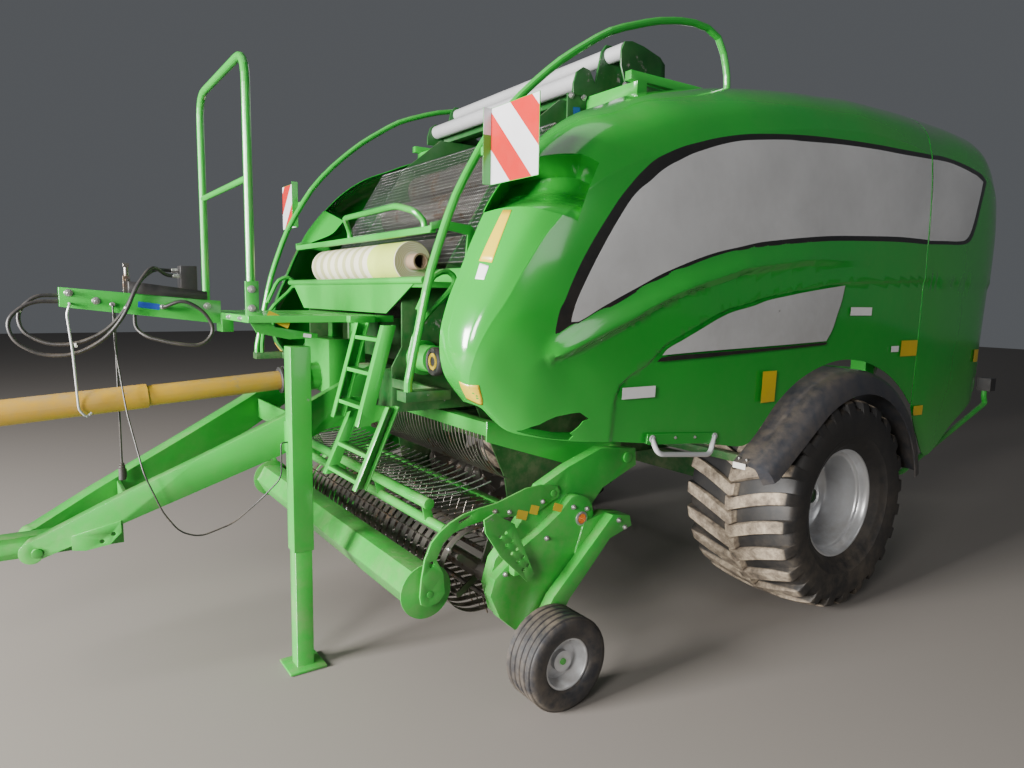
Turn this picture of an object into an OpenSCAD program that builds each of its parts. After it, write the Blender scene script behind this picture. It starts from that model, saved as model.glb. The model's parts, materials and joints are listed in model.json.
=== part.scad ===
// Round baler with a built-in bale wrapper, drawn in millimetres.
// Z is up, the drawbar points to -Y, the machine's left side is +X.

/* [Whole machine] */
// Part to draw
// From the middle of the length back to the axle
axle_y = 1250; // [900:10:1600]
// Height of the hoops' middle line at the top
hoop_top_z = 3063; // [2800:10:3300]

/* [Main wheels] */
// Tyre radius over the lugs
tyre_r = 610; // [500:5:700]
// Tyre width
tyre_w = 690; // [400:10:750]
// Outer face of the tyre from the middle
wheel_out = 1500; // [1200:10:1600]
// Height of the tread lugs
lug_h = 38; // [20:1:60]
// Lugs on each half of the tread
lug_count = 24; // [12:1:28]
// Rim flange radius
rim_r = 305; // [250:5:350]
// Rim width between the flanges
rim_w = 560; // [350:10:650]
// Wheel bolts
stud_count = 10; // [6:1:12]
// Axle beam side
axle_beam = 120; // [80:5:180]
// Spindle radius
spindle_r = 42; // [30:1:60]

/* [Frame] */
// Outer face of the frame rails
rail_out = 520; // [400:10:600]
// Rail width
rail_w = 100; // [60:5:140]
// Underside of the rails
rail_z = 840; // [760:10:900]
// Rail depth
rail_h = 120; // [80:5:160]
// Front end of the rails behind the axle
rail_front = -1450; // [-1700:10:-1200]
// Rear end of the rails
rail_rear = 1300; // [1000:10:1500]

/* [Bale chamber] */
// Inside width of the chamber
chamber_w = 1240; // [1100:10:1300]
// Side plate thickness
wall = 10; // [6:1:16]
// Chamber middle behind the axle
bale_y = -1200; // [-1400:10:-1000]
// Chamber middle above the ground
bale_z = 1850; // [1700:10:2000]
// Radius of the circle of roller middles
roller_ring = 640; // [600:5:760]
// Chamber roller radius
roller_r = 95; // [70:1:110]
// Radius of the tube on top
tube_r = 42; // [30:1:60]

/* [Side panels] */
// Outer face of the side panels
panel_out = 1410; // [1300:5:1450]
// Inner edge of the panel crest
crest_x = 1120; // [1080:5:1200]
// Panel thickness
skin = 12; // [6:1:20]
// Joint between front door and rear panel
split_y = 780; // [600:10:900]
// Width of that joint
split_gap = 12; // [8:1:20]

// Door hinge from the middle
hinge_x = 1110; // [1100:1:1115]
// Door hinge above the ground
hinge_z = 2790; // [2780:1:2810]

/* [Upper frame] */
// Middle of the upper rails from the machine's middle
upper_x = 1080; // [1070:1:1085]
// Upper rail side
upper_side = 40; // [30:1:50]
// Underside of the upper rails
upper_z = 2720; // [2700:5:2740]
// Rear end of the upper rails
upper_rear = 1700; // [1400:10:1750]

/* [Fenders] */
// Fender arc radius
fender_r = 762; // [700:2:800]
// Fender arc middle behind the axle
fender_y = 60; // [0:2:100]
// Fender arc middle above the ground
fender_z = 595; // [560:5:640]
// Where the arc ends in front, as an angle from the rear
fender_turn = 126.7; // [110:0.1:135]
// Length of the flat front flap
flap_len = 490; // [300:10:520]
// Inner edge of the front flap
flap_in = 1310; // [1200:10:1350]
// Outer edge of the fender
fender_out = 1500; // [1450:5:1520]
// Inner edge of the fender
fender_in = 1130; // [1000:5:1200]
// Fender thickness
fender_t = 8; // [5:1:12]

/* [Pickup] */
// Reel middle behind the axle
reel_y = -2040; // [-2100:5:-1950]
// Reel middle above the ground
reel_z = 470; // [420:5:520]
// Radius of the stripper bands
band_r = 200; // [160:2:240]
// Radius over the tine tips
tine_r = 262; // [230:2:290]
// Tine bars on the reel
tine_bars = 5; // [4:1:6]
// Tines on each bar
tine_count = 26; // [16:1:32]
// Spacing of the tines
tine_pitch = 68; // [50:1:90]
// Tine wire radius
tine_wire = 3.5; // [2:0.5:6]
// Outer face of the pickup side plates
pickup_out = 1110; // [1000:5:1200]
// Pickup hinge behind the axle
lift_y = -1330; // [-1450:5:-1250]
// Pickup hinge above the ground
lift_z = 960; // [900:5:1050]

// Inner face of the pickup side plates
pickup_in = 1050; // [980:5:1060]
// Lift hinge pin radius
lift_pin_r = 25; // [15:1:35]
// Feed rotor middle behind the axle
rotor_y = -1440; // [-1500:5:-1400]
// Feed rotor middle above the ground
rotor_z = 640; // [600:5:660]
// Feed rotor radius over its points
rotor_r = 188; // [150:2:195]

/* [Crop guard] */
// Guard hinge behind the axle
guard_y = -1790; // [-1850:5:-1700]
// Guard hinge above the ground
guard_z = 850; // [800:5:900]
// Press roller middle behind the axle
press_y = -2415; // [-2450:5:-2380]
// Press roller middle above the ground
press_z = 515; // [480:5:560]
// Press roller radius
press_r = 95; // [70:1:110]
// Half length of the press roller
press_half = 1085; // [900:5:1100]

/* [Gauge wheels] */
// Gauge wheel radius
gauge_r = 205; // [180:5:260]
// Gauge tyre width
gauge_w = 190; // [120:5:240]
// Outer face of the gauge tyre from the middle
gauge_out = 1440; // [1380:5:1460]
// Gauge wheel middle behind the axle
gauge_y = -1925; // [-2000:1:-1900]

// Gauge wheel spindle radius
gauge_spindle_r = 14; // [8:1:20]

/* [Drawbar] */
// Front bolts of the drawbar beams
beam_front_y = -3730; // [-3800:10:-3600]
// Beam width
beam_w = 90; // [60:5:120]
// Half gap between the beams at the front
beam_front_x = 60; // [60:5:120]
// Spread of each beam
beam_angle = 13.5; // [10:0.5:20]
// Middle of the hitch eye
eye_y = -4490; // [-4550:5:-4300]
// Hitch eye height
eye_z = 540; // [450:5:600]
// Hitch eye bore radius
eye_bore = 25; // [20:0.5:30]
// Hitch eye thickness
eye_t = 40; // [30:1:60]
// Front face of the cross beam behind the axle
cross_y = -2350; // [-2400:5:-2300]

/* [Stand] */
// Stand middle from the machine's middle
stand_x = 452; // [420:2:500]
// Stand middle behind the axle
stand_y = -2725; // [-2800:5:-2600]
// Stand tube side
stand_side = 90; // [70:5:120]
// Top of the stand tube
stand_top = 1493; // [1400:5:1550]
// Bottom of the outer tube
stand_low = 560; // [450:10:700]
// Foot plate side
foot = 170; // [120:5:220]

/* [Drive shaft] */
// Guard tube radius
pto_r = 55; // [40:1:70]
// Front end of the drive shaft
pto_front = -4440; // [-4540:10:-4200]

// Slope of the drive shaft
pto_slope = 3.9; // [0:0.1:8]
// Rear end of the drive shaft above the ground
pto_z = 1300; // [1250:5:1350]
// Rear end of the drive shaft behind the axle
pto_rear = -2540; // [-2600:5:-2500]

/* [Platform] */
// Platform floor height
deck_z = 1600; // [1550:10:1700]
// Front edge of the platform
deck_front = -2950; // [-3000:10:-2850]
// Handrail height
rail_top = 2710; // [2600:10:2800]
// Handrail tube radius
rail_tube = 18; // [12:1:25]

/* [Net binding] */
// Net roll middle behind the axle
net_y = -2210; // [-2300:10:-2100]
// Net roll middle above the ground
net_z = 1880; // [1800:10:1950]
// Net roll radius
net_r = 95; // [60:1:130]
// Half length of the net roll
net_half = 640; // [600:5:660]

/* [Wrapper] */
// Ring middle above the ground
ring_z = 1620; // [1550:10:1700]
// Front face of the ring behind the axle
ring_y = 850; // [820:5:900]
// Inner ring radius
ring_in = 1060; // [1000:5:1100]
// Outer ring radius
ring_out = 1150; // [1100:5:1180]
// Ring thickness
ring_t = 40; // [20:5:60]
// Table hinge behind the axle
table_y = 1180; // [1100:5:1300]
// Table hinge above the ground
table_z = 900; // [860:5:940]

/* [Hidden] */
$fn = 48;
seat_gap = 0.3;
run_gap = 0.05;
hub_x = wheel_out - tyre_w / 2;
gauge_x = gauge_out - gauge_w / 2;
gauge_beam_x = gauge_x - gauge_w / 2 - 80;
gauge_bead = 0.55 * gauge_r;
fender_arc = 8;
deck_rear = -2290;
case_t = 50;
hole_plate_x = pickup_out + 90;
plate_in = chamber_w / 2;
plate_out = plate_in + wall;
rail_in = rail_out - rail_w;
rail_top_z = rail_z + rail_h;
upper_in = upper_x - upper_side / 2;
upper_out = upper_x + upper_side / 2;
upper_top = upper_z + upper_side;
deck_t = 30;
deck_top = deck_z + deck_t;
guard_arm_x = pickup_out + 6;
portal_y0 = 700;
portal_y1 = 800;
portal_in = fender_in - 100;
portal_top = upper_z - 20;

// General helpers
module both() {
    children();
    mirror([1, 0, 0]) children();
}

module behind_axle() {
    translate([0, axle_y, 0]) children();
}

// draws (y, z) shapes as solids that grow to +X from x
module side_on(x) {
    translate([x, 0, 0]) rotate([90, 0, 90]) children();
}

// draws (x, z) shapes as solids that grow to -Y from y
module front_on(y) {
    translate([0, y, 0]) rotate([90, 0, 0]) children();
}

module box(x0, x1, y0, y1, z0, z1) {
    translate([x0, y0, z0]) cube([x1 - x0, y1 - y0, z1 - z0]);
}

module cross_pipe(y, z, x0, x1, r) {
    side_on(x0) translate([y, z, 0]) cylinder(r = r, h = x1 - x0);
}

module pipe(p, q, r) {
    d = q - p;
    translate(p) rotate([0, acos(d[2] / norm(d)), atan2(d[1], d[0])]) cylinder(r = r, h = norm(d));
}

// a path with its corners rounded by n steps
function unit(v) = v / norm(v);
function cut_at(p, i, bend) = i == 0 || i == len(p) - 1 ? 0
    : min(bend, 0.48 * norm(p[i] - p[i - 1]), 0.48 * norm(p[i + 1] - p[i]));
function rounded(p, bend, n) = [for (i = [0 : len(p) - 1])
    if (i == 0 || i == len(p) - 1) p[i]
    else let (c = cut_at(p, i, bend), a = p[i] + unit(p[i - 1] - p[i]) * c,
        b = p[i] + unit(p[i + 1] - p[i]) * c)
        for (k = [0 : n]) let (t = k / n) (1 - t) * (1 - t) * a + 2 * t * (1 - t) * p[i] + t * t * b];

// a closed tube swept along space points, side is never along the path
function along(p, i) = unit(p[min(i + 1, len(p) - 1)] - p[max(i - 1, 0)]);
function swept_ring(p, i, r, n, side) = let (t = along(p, i), u = unit(cross(t, side)), v = cross(t, u))
    [for (k = [0 : n - 1]) p[i] + r * (cos(k * 360 / n) * u + sin(k * 360 / n) * v)];

module swept_tube(p, r, n = 12, side = [1, 0, 0]) {
    m = len(p);
    polyhedron(points = [for (i = [0 : m - 1]) each swept_ring(p, i, r, n, side)],
        faces = concat([[for (k = [0 : n - 1]) k]], [[for (k = [n - 1 : -1 : 0]) (m - 1) * n + k]],
            [for (i = [0 : m - 2]) for (k = [0 : n - 1]) let (a = i * n + k, b = i * n + (k + 1) % n)
                each [[a, a + n, b + n], [a, b + n, b]]]));
}

// a shape on the drive shaft's line, s from its rear end
module on_shaft(s) {
    translate([0, pto_rear, pto_z]) rotate([90 + pto_slope, 0, 0]) translate([0, 0, s]) children();
}

// Main wheels
// columns: across as a share of the width, radius share, lug height share, skew in degrees
tread = [[-0.373, 0.478, 0, 0], [-0.393, 0.502, 0, 0], [-0.47, 0.57, 0, 0], [-0.50, 0.74, 0, 0],
    [-0.475, 0.90, 0.35, 0], [-0.39, 0.968, 1, 1], [-0.19, 0.995, 1, 5], [0, 1, 1, 10],
    [0.19, 0.995, 1, 5], [0.39, 0.968, 1, 1], [0.475, 0.90, 0.35, 0], [0.50, 0.74, 0, 0],
    [0.47, 0.57, 0, 0], [0.393, 0.502, 0, 0], [0.373, 0.478, 0, 0]];
// where a lug starts, ends, and the next gap starts and ends, as shares of one pitch
lug_steps = [0, 0.38, 0.46, 0.92];
bead_r = tread[0][1] * tyre_r;
seat_r = bead_r * cos(180 * 0.46 / lug_count) - seat_gap;

function lug_at(k, side) = side > 0 ? (k < 2 ? 1 : 0) : (k < 2 ? 0 : 1);
function tyre_point(i, j) = let (row = tread[j], k = i % 4,
    a = -90 + (floor(i / 4) + lug_steps[k]) * 360 / lug_count + row[3],
    up = row[0] == 0 ? 1 : lug_at(k, row[0]),
    r = row[1] * tyre_r - lug_h * row[2] * (1 - up))
    [row[0] * tyre_w, r * cos(a), r * sin(a)];

module tyre() {
    n = 4 * lug_count;
    m = len(tread);
    color("#1c1c1c") translate([hub_x, axle_y, tyre_r]) polyhedron(
        points = [for (i = [0 : n - 1]) for (j = [0 : m - 1]) tyre_point(i, j)],
        faces = [for (i = [0 : n - 1]) for (j = [0 : m - 1])
            let (a = i * m + j, b = i * m + (j + 1) % m, c = ((i + 1) % n) * m + (j + 1) % m,
                d = ((i + 1) % n) * m + j)
            each [[a, b, c], [a, c, d]]]);
}

// half section of the rim as (radius, across)
module rim() {
    w = rim_w / 2;
    bore = spindle_r + run_gap;
    color("#9a9c9e") translate([hub_x, axle_y, tyre_r]) rotate([0, 90, 0]) {
        rotate_extrude($fn = 96) polygon([[seat_r - 12, 1 - w], [rim_r, -w], [rim_r, 8 - w],
            [seat_r, 22 - w], [seat_r, w - 22], [rim_r, w - 8], [rim_r, w], [seat_r - 12, w - 1],
            [seat_r - 30, w - 70], [seat_r - 46, 40], [190, 10], [110, 40], [110, 70], [80, 75],
            [80, 105], [60, 110], [bore, 110], [bore, -60], [100, -60],
            [110, -10], [180, -14], [seat_r - 60, 20], [seat_r - 34, -w + 70]]);
        for (i = [0 : stud_count - 1]) rotate([0, 0, i * 360 / stud_count])
            translate([150, 0, 20]) cylinder(r = 14, h = 34, $fn = 6);
    }
}

module left_tyre() {
    tyre();
}

module right_tyre() {
    mirror([1, 0, 0]) tyre();
}

module left_rim() {
    rim();
}

module right_rim() {
    mirror([1, 0, 0]) rim();
}

// Axle and frame
module axle() {
    h = axle_beam / 2;
    hub_end = hub_x - 60 - seat_gap;
    color("#1f7a2e") translate([0, axle_y, 0]) {
        box(-700, 700, -h, h, tyre_r - h, tyre_r + h);
        both() {
            side_on(rail_in) linear_extrude(rail_w) polygon([[-h, tyre_r + h], [-h - 90, rail_z],
                [h + 90, rail_z], [h, tyre_r + h]]);
            cross_pipe(0, tyre_r, 700, hub_end, 75);
            cross_pipe(0, tyre_r, hub_end, hub_x + 100, spindle_r);
        }
    }
}

// front edges of the cross-members behind the axle
cross_members = [-1400, -420, 500];
cross_depth = 80;

module main_frame() {
    color("#1f7a2e") behind_axle() {
        both() {
            box(rail_in, rail_out, rail_front, rail_rear, rail_z, rail_top_z);
            box(rail_out, fender_in, portal_y0, portal_y1, rail_z + 20, rail_top_z);
            cross_pipe(table_y, table_z, 300, rail_in, table_pin_r);
        }
        for (y = cross_members) {
            box(-rail_in, rail_in, y, y + cross_depth, rail_z, rail_top_z);
            if (y < 0) both() box(rail_out, plate_in, y, y + cross_depth, rail_z, rail_top_z);
        }
    }
}
table_pin_r = 25;

// Bale chamber
tray_z = 1760;
mesh_low = [-2060, 1880];
mesh_high = [-1680, 2510];
// outline of a side plate as (y, z) from the lower front corner
chamber_side = [[cross_y, 1190], [cross_y, 1400], [-2300, 1490], [-2300, tray_z], [-2110, tray_z],
    mesh_low, mesh_high, [-1420, upper_z], [-880, upper_z], [-800, 2640], [-800, 2400],
    [-900, 2330], [-1010, 2280], [-1060, 2100], [-1060, 1500], [-900, 1300], [-700, 1180],
    [-340, 1060], [-340, rail_z], [-1180, rail_z], [-1230, 600], [-1340, 430], [-1560, 430],
    [-1680, 560], [-1720, 800], [-1900, 1190]];
door_pin_y = -880;
door_pin_z = 2470;
door_pin_r = 20;
stub_r = 45;

module chamber_sides() {
    color("#1d6b2a") behind_axle() {
        both() {
            difference() {
                side_on(plate_in) linear_extrude(wall) polygon(chamber_side);
                cross_pipe(rotor_y, rotor_z, plate_in - 1, plate_out + 1, rotor_shaft_r + run_gap);
            }
            cross_pipe(door_pin_y, door_pin_z, plate_in - 24, plate_in, door_pin_r);
            cross_pipe(lift_y, lift_z, plate_out, wing_in, stub_r);
        }
        box(-plate_in, plate_in, cross_y, cross_y + 140, 1200, 1380);
        box(-plate_in, plate_in, -2066, -2060, 1380, 1600);
        both() {
            box(plate_out, 1100, cross_y, cross_y + 40, 1309, 1349);
            box(1020, 1100, hoop_foot[0] - 20, cross_y, 1309, hoop_foot[1]);
            box(plate_out, flap_in + 60, -660, -600, rail_z + 40, rail_z + 80);
            side_on(flap_in + 20) linear_extrude(40) polygon([[-660, rail_z + 80], [-600, rail_z + 80],
                [-600, flap_z(-600) - seat_gap], [-660, flap_z(-660) - seat_gap]]);
        }
    }
}
rotor_shaft_r = 30;
wing_in = 990;
wing_t = 10;

// angles of the front rollers round the chamber's middle
front_rollers = [100, 124, 148, 172, 196, 220, 244];

module chamber_rollers() {
    color("#4a4a48") behind_axle() for (a = front_rollers)
        cross_pipe(bale_y + roller_ring * cos(a), bale_z + roller_ring * sin(a),
            -plate_in, plate_in, roller_r);
}

// angles of the door's rollers
door_rollers = [-28, -4, 20, 44];
// outline of a door plate as (y, z)
door_side = [[-990, 2320], [-930, 2500], [-880, 2530], [-820, 2500], [-640, 2440], [-480, 2280],
    [-400, 1900], [-430, 1500], [-580, 1330], [-760, 1330], [-1020, 1900]];

module chamber_door() {
    door_in = plate_in - 12 - wall;
    color("#1d6b2a") behind_axle() {
        both() difference() {
            side_on(door_in) linear_extrude(wall) polygon(door_side);
            cross_pipe(door_pin_y, door_pin_z, door_in - 1, plate_in, door_pin_r + run_gap);
        }
        for (a = door_rollers)
            cross_pipe(bale_y + roller_ring * cos(a), bale_z + roller_ring * sin(a),
                -door_in, door_in, roller_r);
    }
}

module feed_rotor() {
    color("#5c5a58") behind_axle() {
        cross_pipe(rotor_y, rotor_z, -plate_out - 10, plate_out + 10, rotor_shaft_r);
        cross_pipe(rotor_y, rotor_z, -plate_in + 12, plate_in - 12, 62);
        for (i = [0 : 11]) side_on(-554 + i * 100) translate([rotor_y, rotor_z, 0])
            rotate([0, 0, i * 20]) linear_extrude(8)
                polygon([for (k = [0 : 5]) let (a = k * 60, r = k % 2 == 0 ? rotor_r : 70)
                    [r * cos(a), r * sin(a)]]);
    }
}

// Upper frame
module upper_frame() {
    color("#24852f") behind_axle() both() {
        box(upper_in, upper_out, -1380, upper_rear, upper_z, upper_top);
        for (y = [-1340, -1000]) box(plate_out, upper_out, y, y + 60, upper_z - 60, upper_z);
        for (y = hinge_places) {
            box(upper_out - 20, hinge_x + 8, y - 8, y + 8, upper_top, hinge_z + 10);
            translate([hinge_x, y + 8, hinge_z]) rotate([-90, 0, 0]) cylinder(r = 7, h = 44);
        }
    }
}
hinge_places = [-480, 100, 680];

module top_tubes() {
    color("#c9ccd0") behind_axle() {
        cross_pipe(-1358, 2806, -778, 735, tube_r);
        cross_pipe(-1200, 2940, -778, 866, tube_r - 4);
    }
}

module top_unit() {
    color("#1d6b2a") behind_axle() {
        for (x = [-790, 735]) difference() {
            side_on(x) linear_extrude(12) union() {
                polygon([[-1430, upper_z], [-1430, 2770], [-1410, 2830], [-1370, 2858], [-1330, 2850],
                    [-1290, 2790], [-1250, upper_z]]);
                polygon([[-1290, upper_z], [-1290, 2790], [-1255, 2950], [-1225, 2990], [-1180, 2992],
                    [-1140, 2960], [-1050, 2800], [-950, 2770], [-950, upper_z]]);
            }
            if (x > 0) cross_pipe(-1200, 2940, x - 1, x + 13, tube_r - 4 + seat_gap);
        }
        side_on(866) linear_extrude(10) polygon([[-1211, 2790], [-1240, 2860], [-1240, 2930],
            [-1218, 2975], [-1170, 2985], [-1090, 2975], [-975, 2945], [-940, 2915], [-935, 2790],
            [-960, 2755], [-1105, 2718], [-1180, 2740]]);
        cross_pipe(-1060, 2790, 747, 866, 14);
        side_on(735) linear_extrude(8) polygon([[-1430, 2735], [-1462, 2720], [-1462, 2570],
            [-1445, 2548], [-1345, 2540], [-1345, 2735]]);
        box(-778, 735, -1310, -1250, 2740, 2800);
        box(-778, 735, -1130, -1070, 2810, 2850);
        box(-778, 735, -1040, -1000, 2740, 2780);
        cross_pipe(-1160, 2780, -778, 735, 14);
    }
}

// Side panels
// columns: crest y, crest z, bottom edge y, bottom edge z, outermost x
door_lines = [[-2263, 1300, -2200, 1240, 1240], [-2354, 1420, -2140, 1190, 1270],
    [-2373, 1561, -2040, 1160, 1310], [-2340, 1700, -1940, 1140, 1340],
    [-2284, 1827, -1820, 1125, 1365], [-2210, 1990, -1700, 1115, 1380],
    [-2118, 2151, -1570, 1100, 1392], [-1938, 2357, -1400, 1080, 1400],
    [-1756, 2492, -1200, 1060, 1405], [-1561, 2577, -1000, 1035, 1410],
    [-1370, 2653, -800, 1010, 1410], [-1100, 2715, -700, 1065, 1410],
    [-810, 2771, -535, 1220, 1410], [-410, 2824, -330, 1336, 1410],
    [-100, 2850, -60, 1404, 1410], [132, 2871, 200, 1396, 1410],
    [440, 2880, 450, 1324, 1410], [640, 2885, 640, 1222, 1410],
    [split_y, 2886, split_y, 1108, 1410]];
rear_lines = [[split_y + split_gap, 2886, split_y + split_gap, 1086, 1410],
    [880, 2886, 880, 915, 1410], [1036, 2884, 1036, 758, 1410], [1337, 2872, 1337, 928, 1405],
    [1600, 2830, 1560, 1030, 1395],
    [1784, 2640, 1666, 1090, 1375], [1850, 2300, 1680, 1200, 1350],
    [1862, 2102, 1700, 1330, 1330]];
// columns: share of the way down, width share, both from the crest
bulge = [[0, 0], [0.015, 0.30], [0.045, 0.58], [0.09, 0.80], [0.16, 0.93], [0.28, 0.985],
    [0.5, 1], [0.8, 0.985], [1, 0.95]];

function panel_point(line, row, inset) = [
    crest_x + (line[4] - 1410 + panel_out - crest_x) * row[1] - inset * (0.25 + 0.75 * row[1]),
    line[0] + (line[2] - line[0]) * row[0],
    line[1] + (line[3] - line[1]) * row[0] - inset * (1 - row[1])];

module panel_shell(lines) {
    n = len(lines);
    m = len(bulge);
    q = n * m;
    polyhedron(points = concat([for (l = lines) for (r = bulge) panel_point(l, r, 0)],
        [for (l = lines) for (r = bulge) panel_point(l, r, skin)]), faces = concat(
        [for (i = [0 : n - 2]) for (j = [0 : m - 2]) let (a = i * m + j, b = a + 1, c = a + m + 1,
            d = a + m) each [[a, c, b], [a, d, c]]],
        [for (i = [0 : n - 2]) for (j = [0 : m - 2]) let (a = q + i * m + j, b = a + 1,
            c = a + m + 1, d = a + m) each [[a, b, c], [a, c, d]]],
        [for (i = [0 : n - 2]) let (a = i * m, d = a + m) each [[a, q + d, d], [a, q + a, q + d]]],
        [for (i = [0 : n - 2]) let (a = i * m + m - 1, d = a + m)
            each [[a, d, q + d], [a, q + d, q + a]]],
        [for (j = [0 : m - 2]) let (a = j, b = j + 1) each [[a, q + b, q + a], [a, b, q + b]]],
        [for (j = [0 : m - 2]) let (a = (n - 1) * m + j, b = a + 1)
            each [[a, q + a, q + b], [a, q + b, b]]]));
}

module door() {
    color("#2faa3a") behind_axle() {
        panel_shell(door_lines);
        for (y = hinge_places) difference() {
            box(hinge_x - 12, hinge_x + 14, y + 10, y + 50, hinge_z - 12, door_crest(y + 30) - 6);
            translate([hinge_x, y, hinge_z]) rotate([-90, 0, 0]) cylinder(r = 7 + run_gap, h = 60);
        }
        side_on(1380) linear_extrude(8) polygon([[-1480, 1088], [-1480, 1138], [-1000, 1100],
            [-1000, 1050]]);
        swept_tube(rounded([[1385, -1446, 1115], [1400, -1420, 1040], [1400, -1070, 1000],
            [1385, -1030, 1087]], 36, 3), 12, 10, [0.9, 0.3, 0]);
    }
}

// height of the crest at a place behind the axle
function door_crest(y) = lookup(y, [for (l = door_lines) if (l[0] > -2263) [l[0], l[1]]]);

module left_door() {
    door();
}

module right_door() {
    mirror([1, 0, 0]) door();
}

module rear_panels() {
    color("#2faa3a") behind_axle() both() {
        panel_shell(rear_lines);
        for (q = [[860, 2877], [1300, 2866]])
            box(upper_out, 1126, q[0], q[0] + 40, upper_z + 10, q[1]);
    }
}

// Fenders
// outer line of the section as (radius, x), from the inner edge to the lip
fender_line = [[fender_r, fender_in], [fender_r, fender_out - 100], [fender_r - 17, fender_out - 50],
    [fender_r - 62, fender_out - 15], [fender_r - 130, fender_out]];
fender_inner = [[fender_r - 130, fender_out - fender_t], [fender_r - 66, fender_out - 15 - fender_t],
    [fender_r - 24, fender_out - 48 - fender_t], [fender_r - fender_t, fender_out - 104],
    [fender_r - fender_t, fender_in]];
// section of the thinner front flap, which starts inside the arc's thickness
flap_line = [[fender_r - 1.5, fender_in + 1.5], [fender_r - 1.5, fender_out - 100.3],
    [fender_r - 18.3, fender_out - 51], [fender_r - 62.7, fender_out - 16.4],
    [fender_r - 128.5, fender_out - 1.8], [fender_r - 128.5, fender_out - 6.8],
    [fender_r - 65.4, fender_out - 21.6],
    [fender_r - 22.8, fender_out - 55.1], [fender_r - 6.5, fender_out - 103.7],
    [fender_r - 6.5, fender_in + 1.5]];
// height of the flap's underside at a place behind the axle
function flap_z(y) = fender_z + (fender_r - 6.5) * sin(fender_turn)
    - (y - fender_y - (fender_r - 6.5) * cos(fender_turn)) * cos(fender_turn) / sin(fender_turn);

module fenders() {
    color("#202123") behind_axle() both() {
        translate([0, fender_y, fender_z]) rotate([0, 90, 0]) rotate([0, 0, 90 + fender_arc])
            rotate_extrude(angle = fender_turn - fender_arc, $fn = 128)
                polygon(concat(fender_line, fender_inner));
        difference() {
            translate([0, fender_y, fender_z]) rotate([0, 90, 0]) rotate([0, 0, 90 + fender_turn])
                rotate([90, 0, 0]) translate([0, 0, -flap_len]) linear_extrude(flap_len + 1)
                    polygon(flap_line);
            box(fender_in, flap_in, -1000, -560, 600, 1300);
        }
    }
}

// Drawbar
// outline of a beam as (along, z) from the front bolt
beam_side = [[0, 598], [1000, 995], [1500, 1271], [1500, 1436], [1000, 1165], [644, 995],
    [260, 818], [0, 686]];

module beam_place() {
    translate([beam_front_x, beam_front_y, 0]) rotate([0, 0, -beam_angle]) children();
}

module drawbar() {
    color("#2a9836") behind_axle() difference() {
        union() {
            both() beam_place() {
                side_on(0) linear_extrude(beam_w) union() {
                    polygon(beam_side);
                    translate([0, eye_line]) circle(r = 46);
                }
                side_on(beam_w) linear_extrude(10) polygon([[150, 640], [200, 634], [292, 652],
                    [336, 698], [336, 750], [150, 700]]);
            }
            box(-140, 140, beam_front_y + 330, beam_front_y + 345, 740, 840);
            box(-330, 330, -2700, -2690, 1060, 1160);
        }
        box(-1000, 1000, cross_y, cross_y + 300, 1000, 1600);
        cross_pipe(beam_front_y, eye_line, -200, 200, tongue_pin_r + run_gap);
        both() beam_place() for (q = [[262, 668], [306, 696]])
            side_on(beam_w - 1) translate([q[0], q[1], 0]) cylinder(r = 9, h = 12);
    }
}
eye_line = 640;
tongue_pin_r = 20;
tongue_rear = beam_front_y + 330;

module hitch_tongue() {
    color("#2a9836") behind_axle() difference() {
        union() {
            box(-44, 44, eye_y + 110, tongue_rear, eye_line - 45, eye_line + 45);
            cross_pipe(beam_front_y, eye_line, -165, 165, tongue_pin_r);
            side_on(-30) linear_extrude(60) polygon([[eye_y + 110, 685], [eye_y + 50, 640],
                [eye_y + 50, eye_z - eye_t / 2], [eye_y + 110, eye_z - eye_t / 2],
                [eye_y + 180, 595]]);
            translate([0, eye_y, eye_z - eye_t / 2]) cylinder(r = 60, h = eye_t);
            box(-30, 30, eye_y, eye_y + 70, eye_z - eye_t / 2, eye_z + eye_t / 2);
        }
        translate([0, eye_y, eye_z - 100]) cylinder(r = eye_bore, h = 200);
    }
}

// Parking stand
stand_wall = 6;
stand_pin_z = 800;

module stand_tube() {
    h = stand_side / 2;
    color("#2faa3a") behind_axle() difference() {
        union() {
            translate([stand_x, stand_y, 0]) difference() {
                box(-h, h, -h, h, stand_low, stand_top);
                box(stand_wall - h, h - stand_wall, stand_wall - h, h - stand_wall, stand_low - 1,
                    stand_top - 8);
            }
            difference() {
                box(stand_x - h - 60, stand_x - h, stand_y - h, stand_y + h, 1010, 1150);
                beam_place() side_on(-200) linear_extrude(200 + beam_w)
                    translate([0, 900]) square([1500, 500]);
            }
            translate([stand_x, stand_y, stand_pin_z]) rotate([90, 0, 0])
                translate([0, 0, -h]) cylinder(r = 9, h = 2 * h);
        }
    }
}

module stand_leg() {
    h = stand_side / 2 - stand_wall - 0.1;
    color("#2faa3a") behind_axle() translate([stand_x, stand_y, 0]) {
        difference() {
            box(-h, h, -h, h, 12, 900);
            translate([0, 100, stand_pin_z]) rotate([90, 0, 0]) cylinder(r = 9 + run_gap, h = 200);
        }
        box(-foot / 2, foot / 2, -foot / 2, foot / 2, 0, 12);
    }
}

// Gearbox and drive shaft
module gearbox() {
    color("#2a9836") behind_axle() {
        box(-180, 180, -2480, cross_y, 1230, 1500);
        on_shaft(-80) cylinder(r = 70, h = 80);
        cross_pipe(-2200, 1440, plate_out, plate_out + 130, 62);
        cross_pipe(-2200, 1440, plate_out, plate_out + 30, 80);
    }
}

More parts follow.
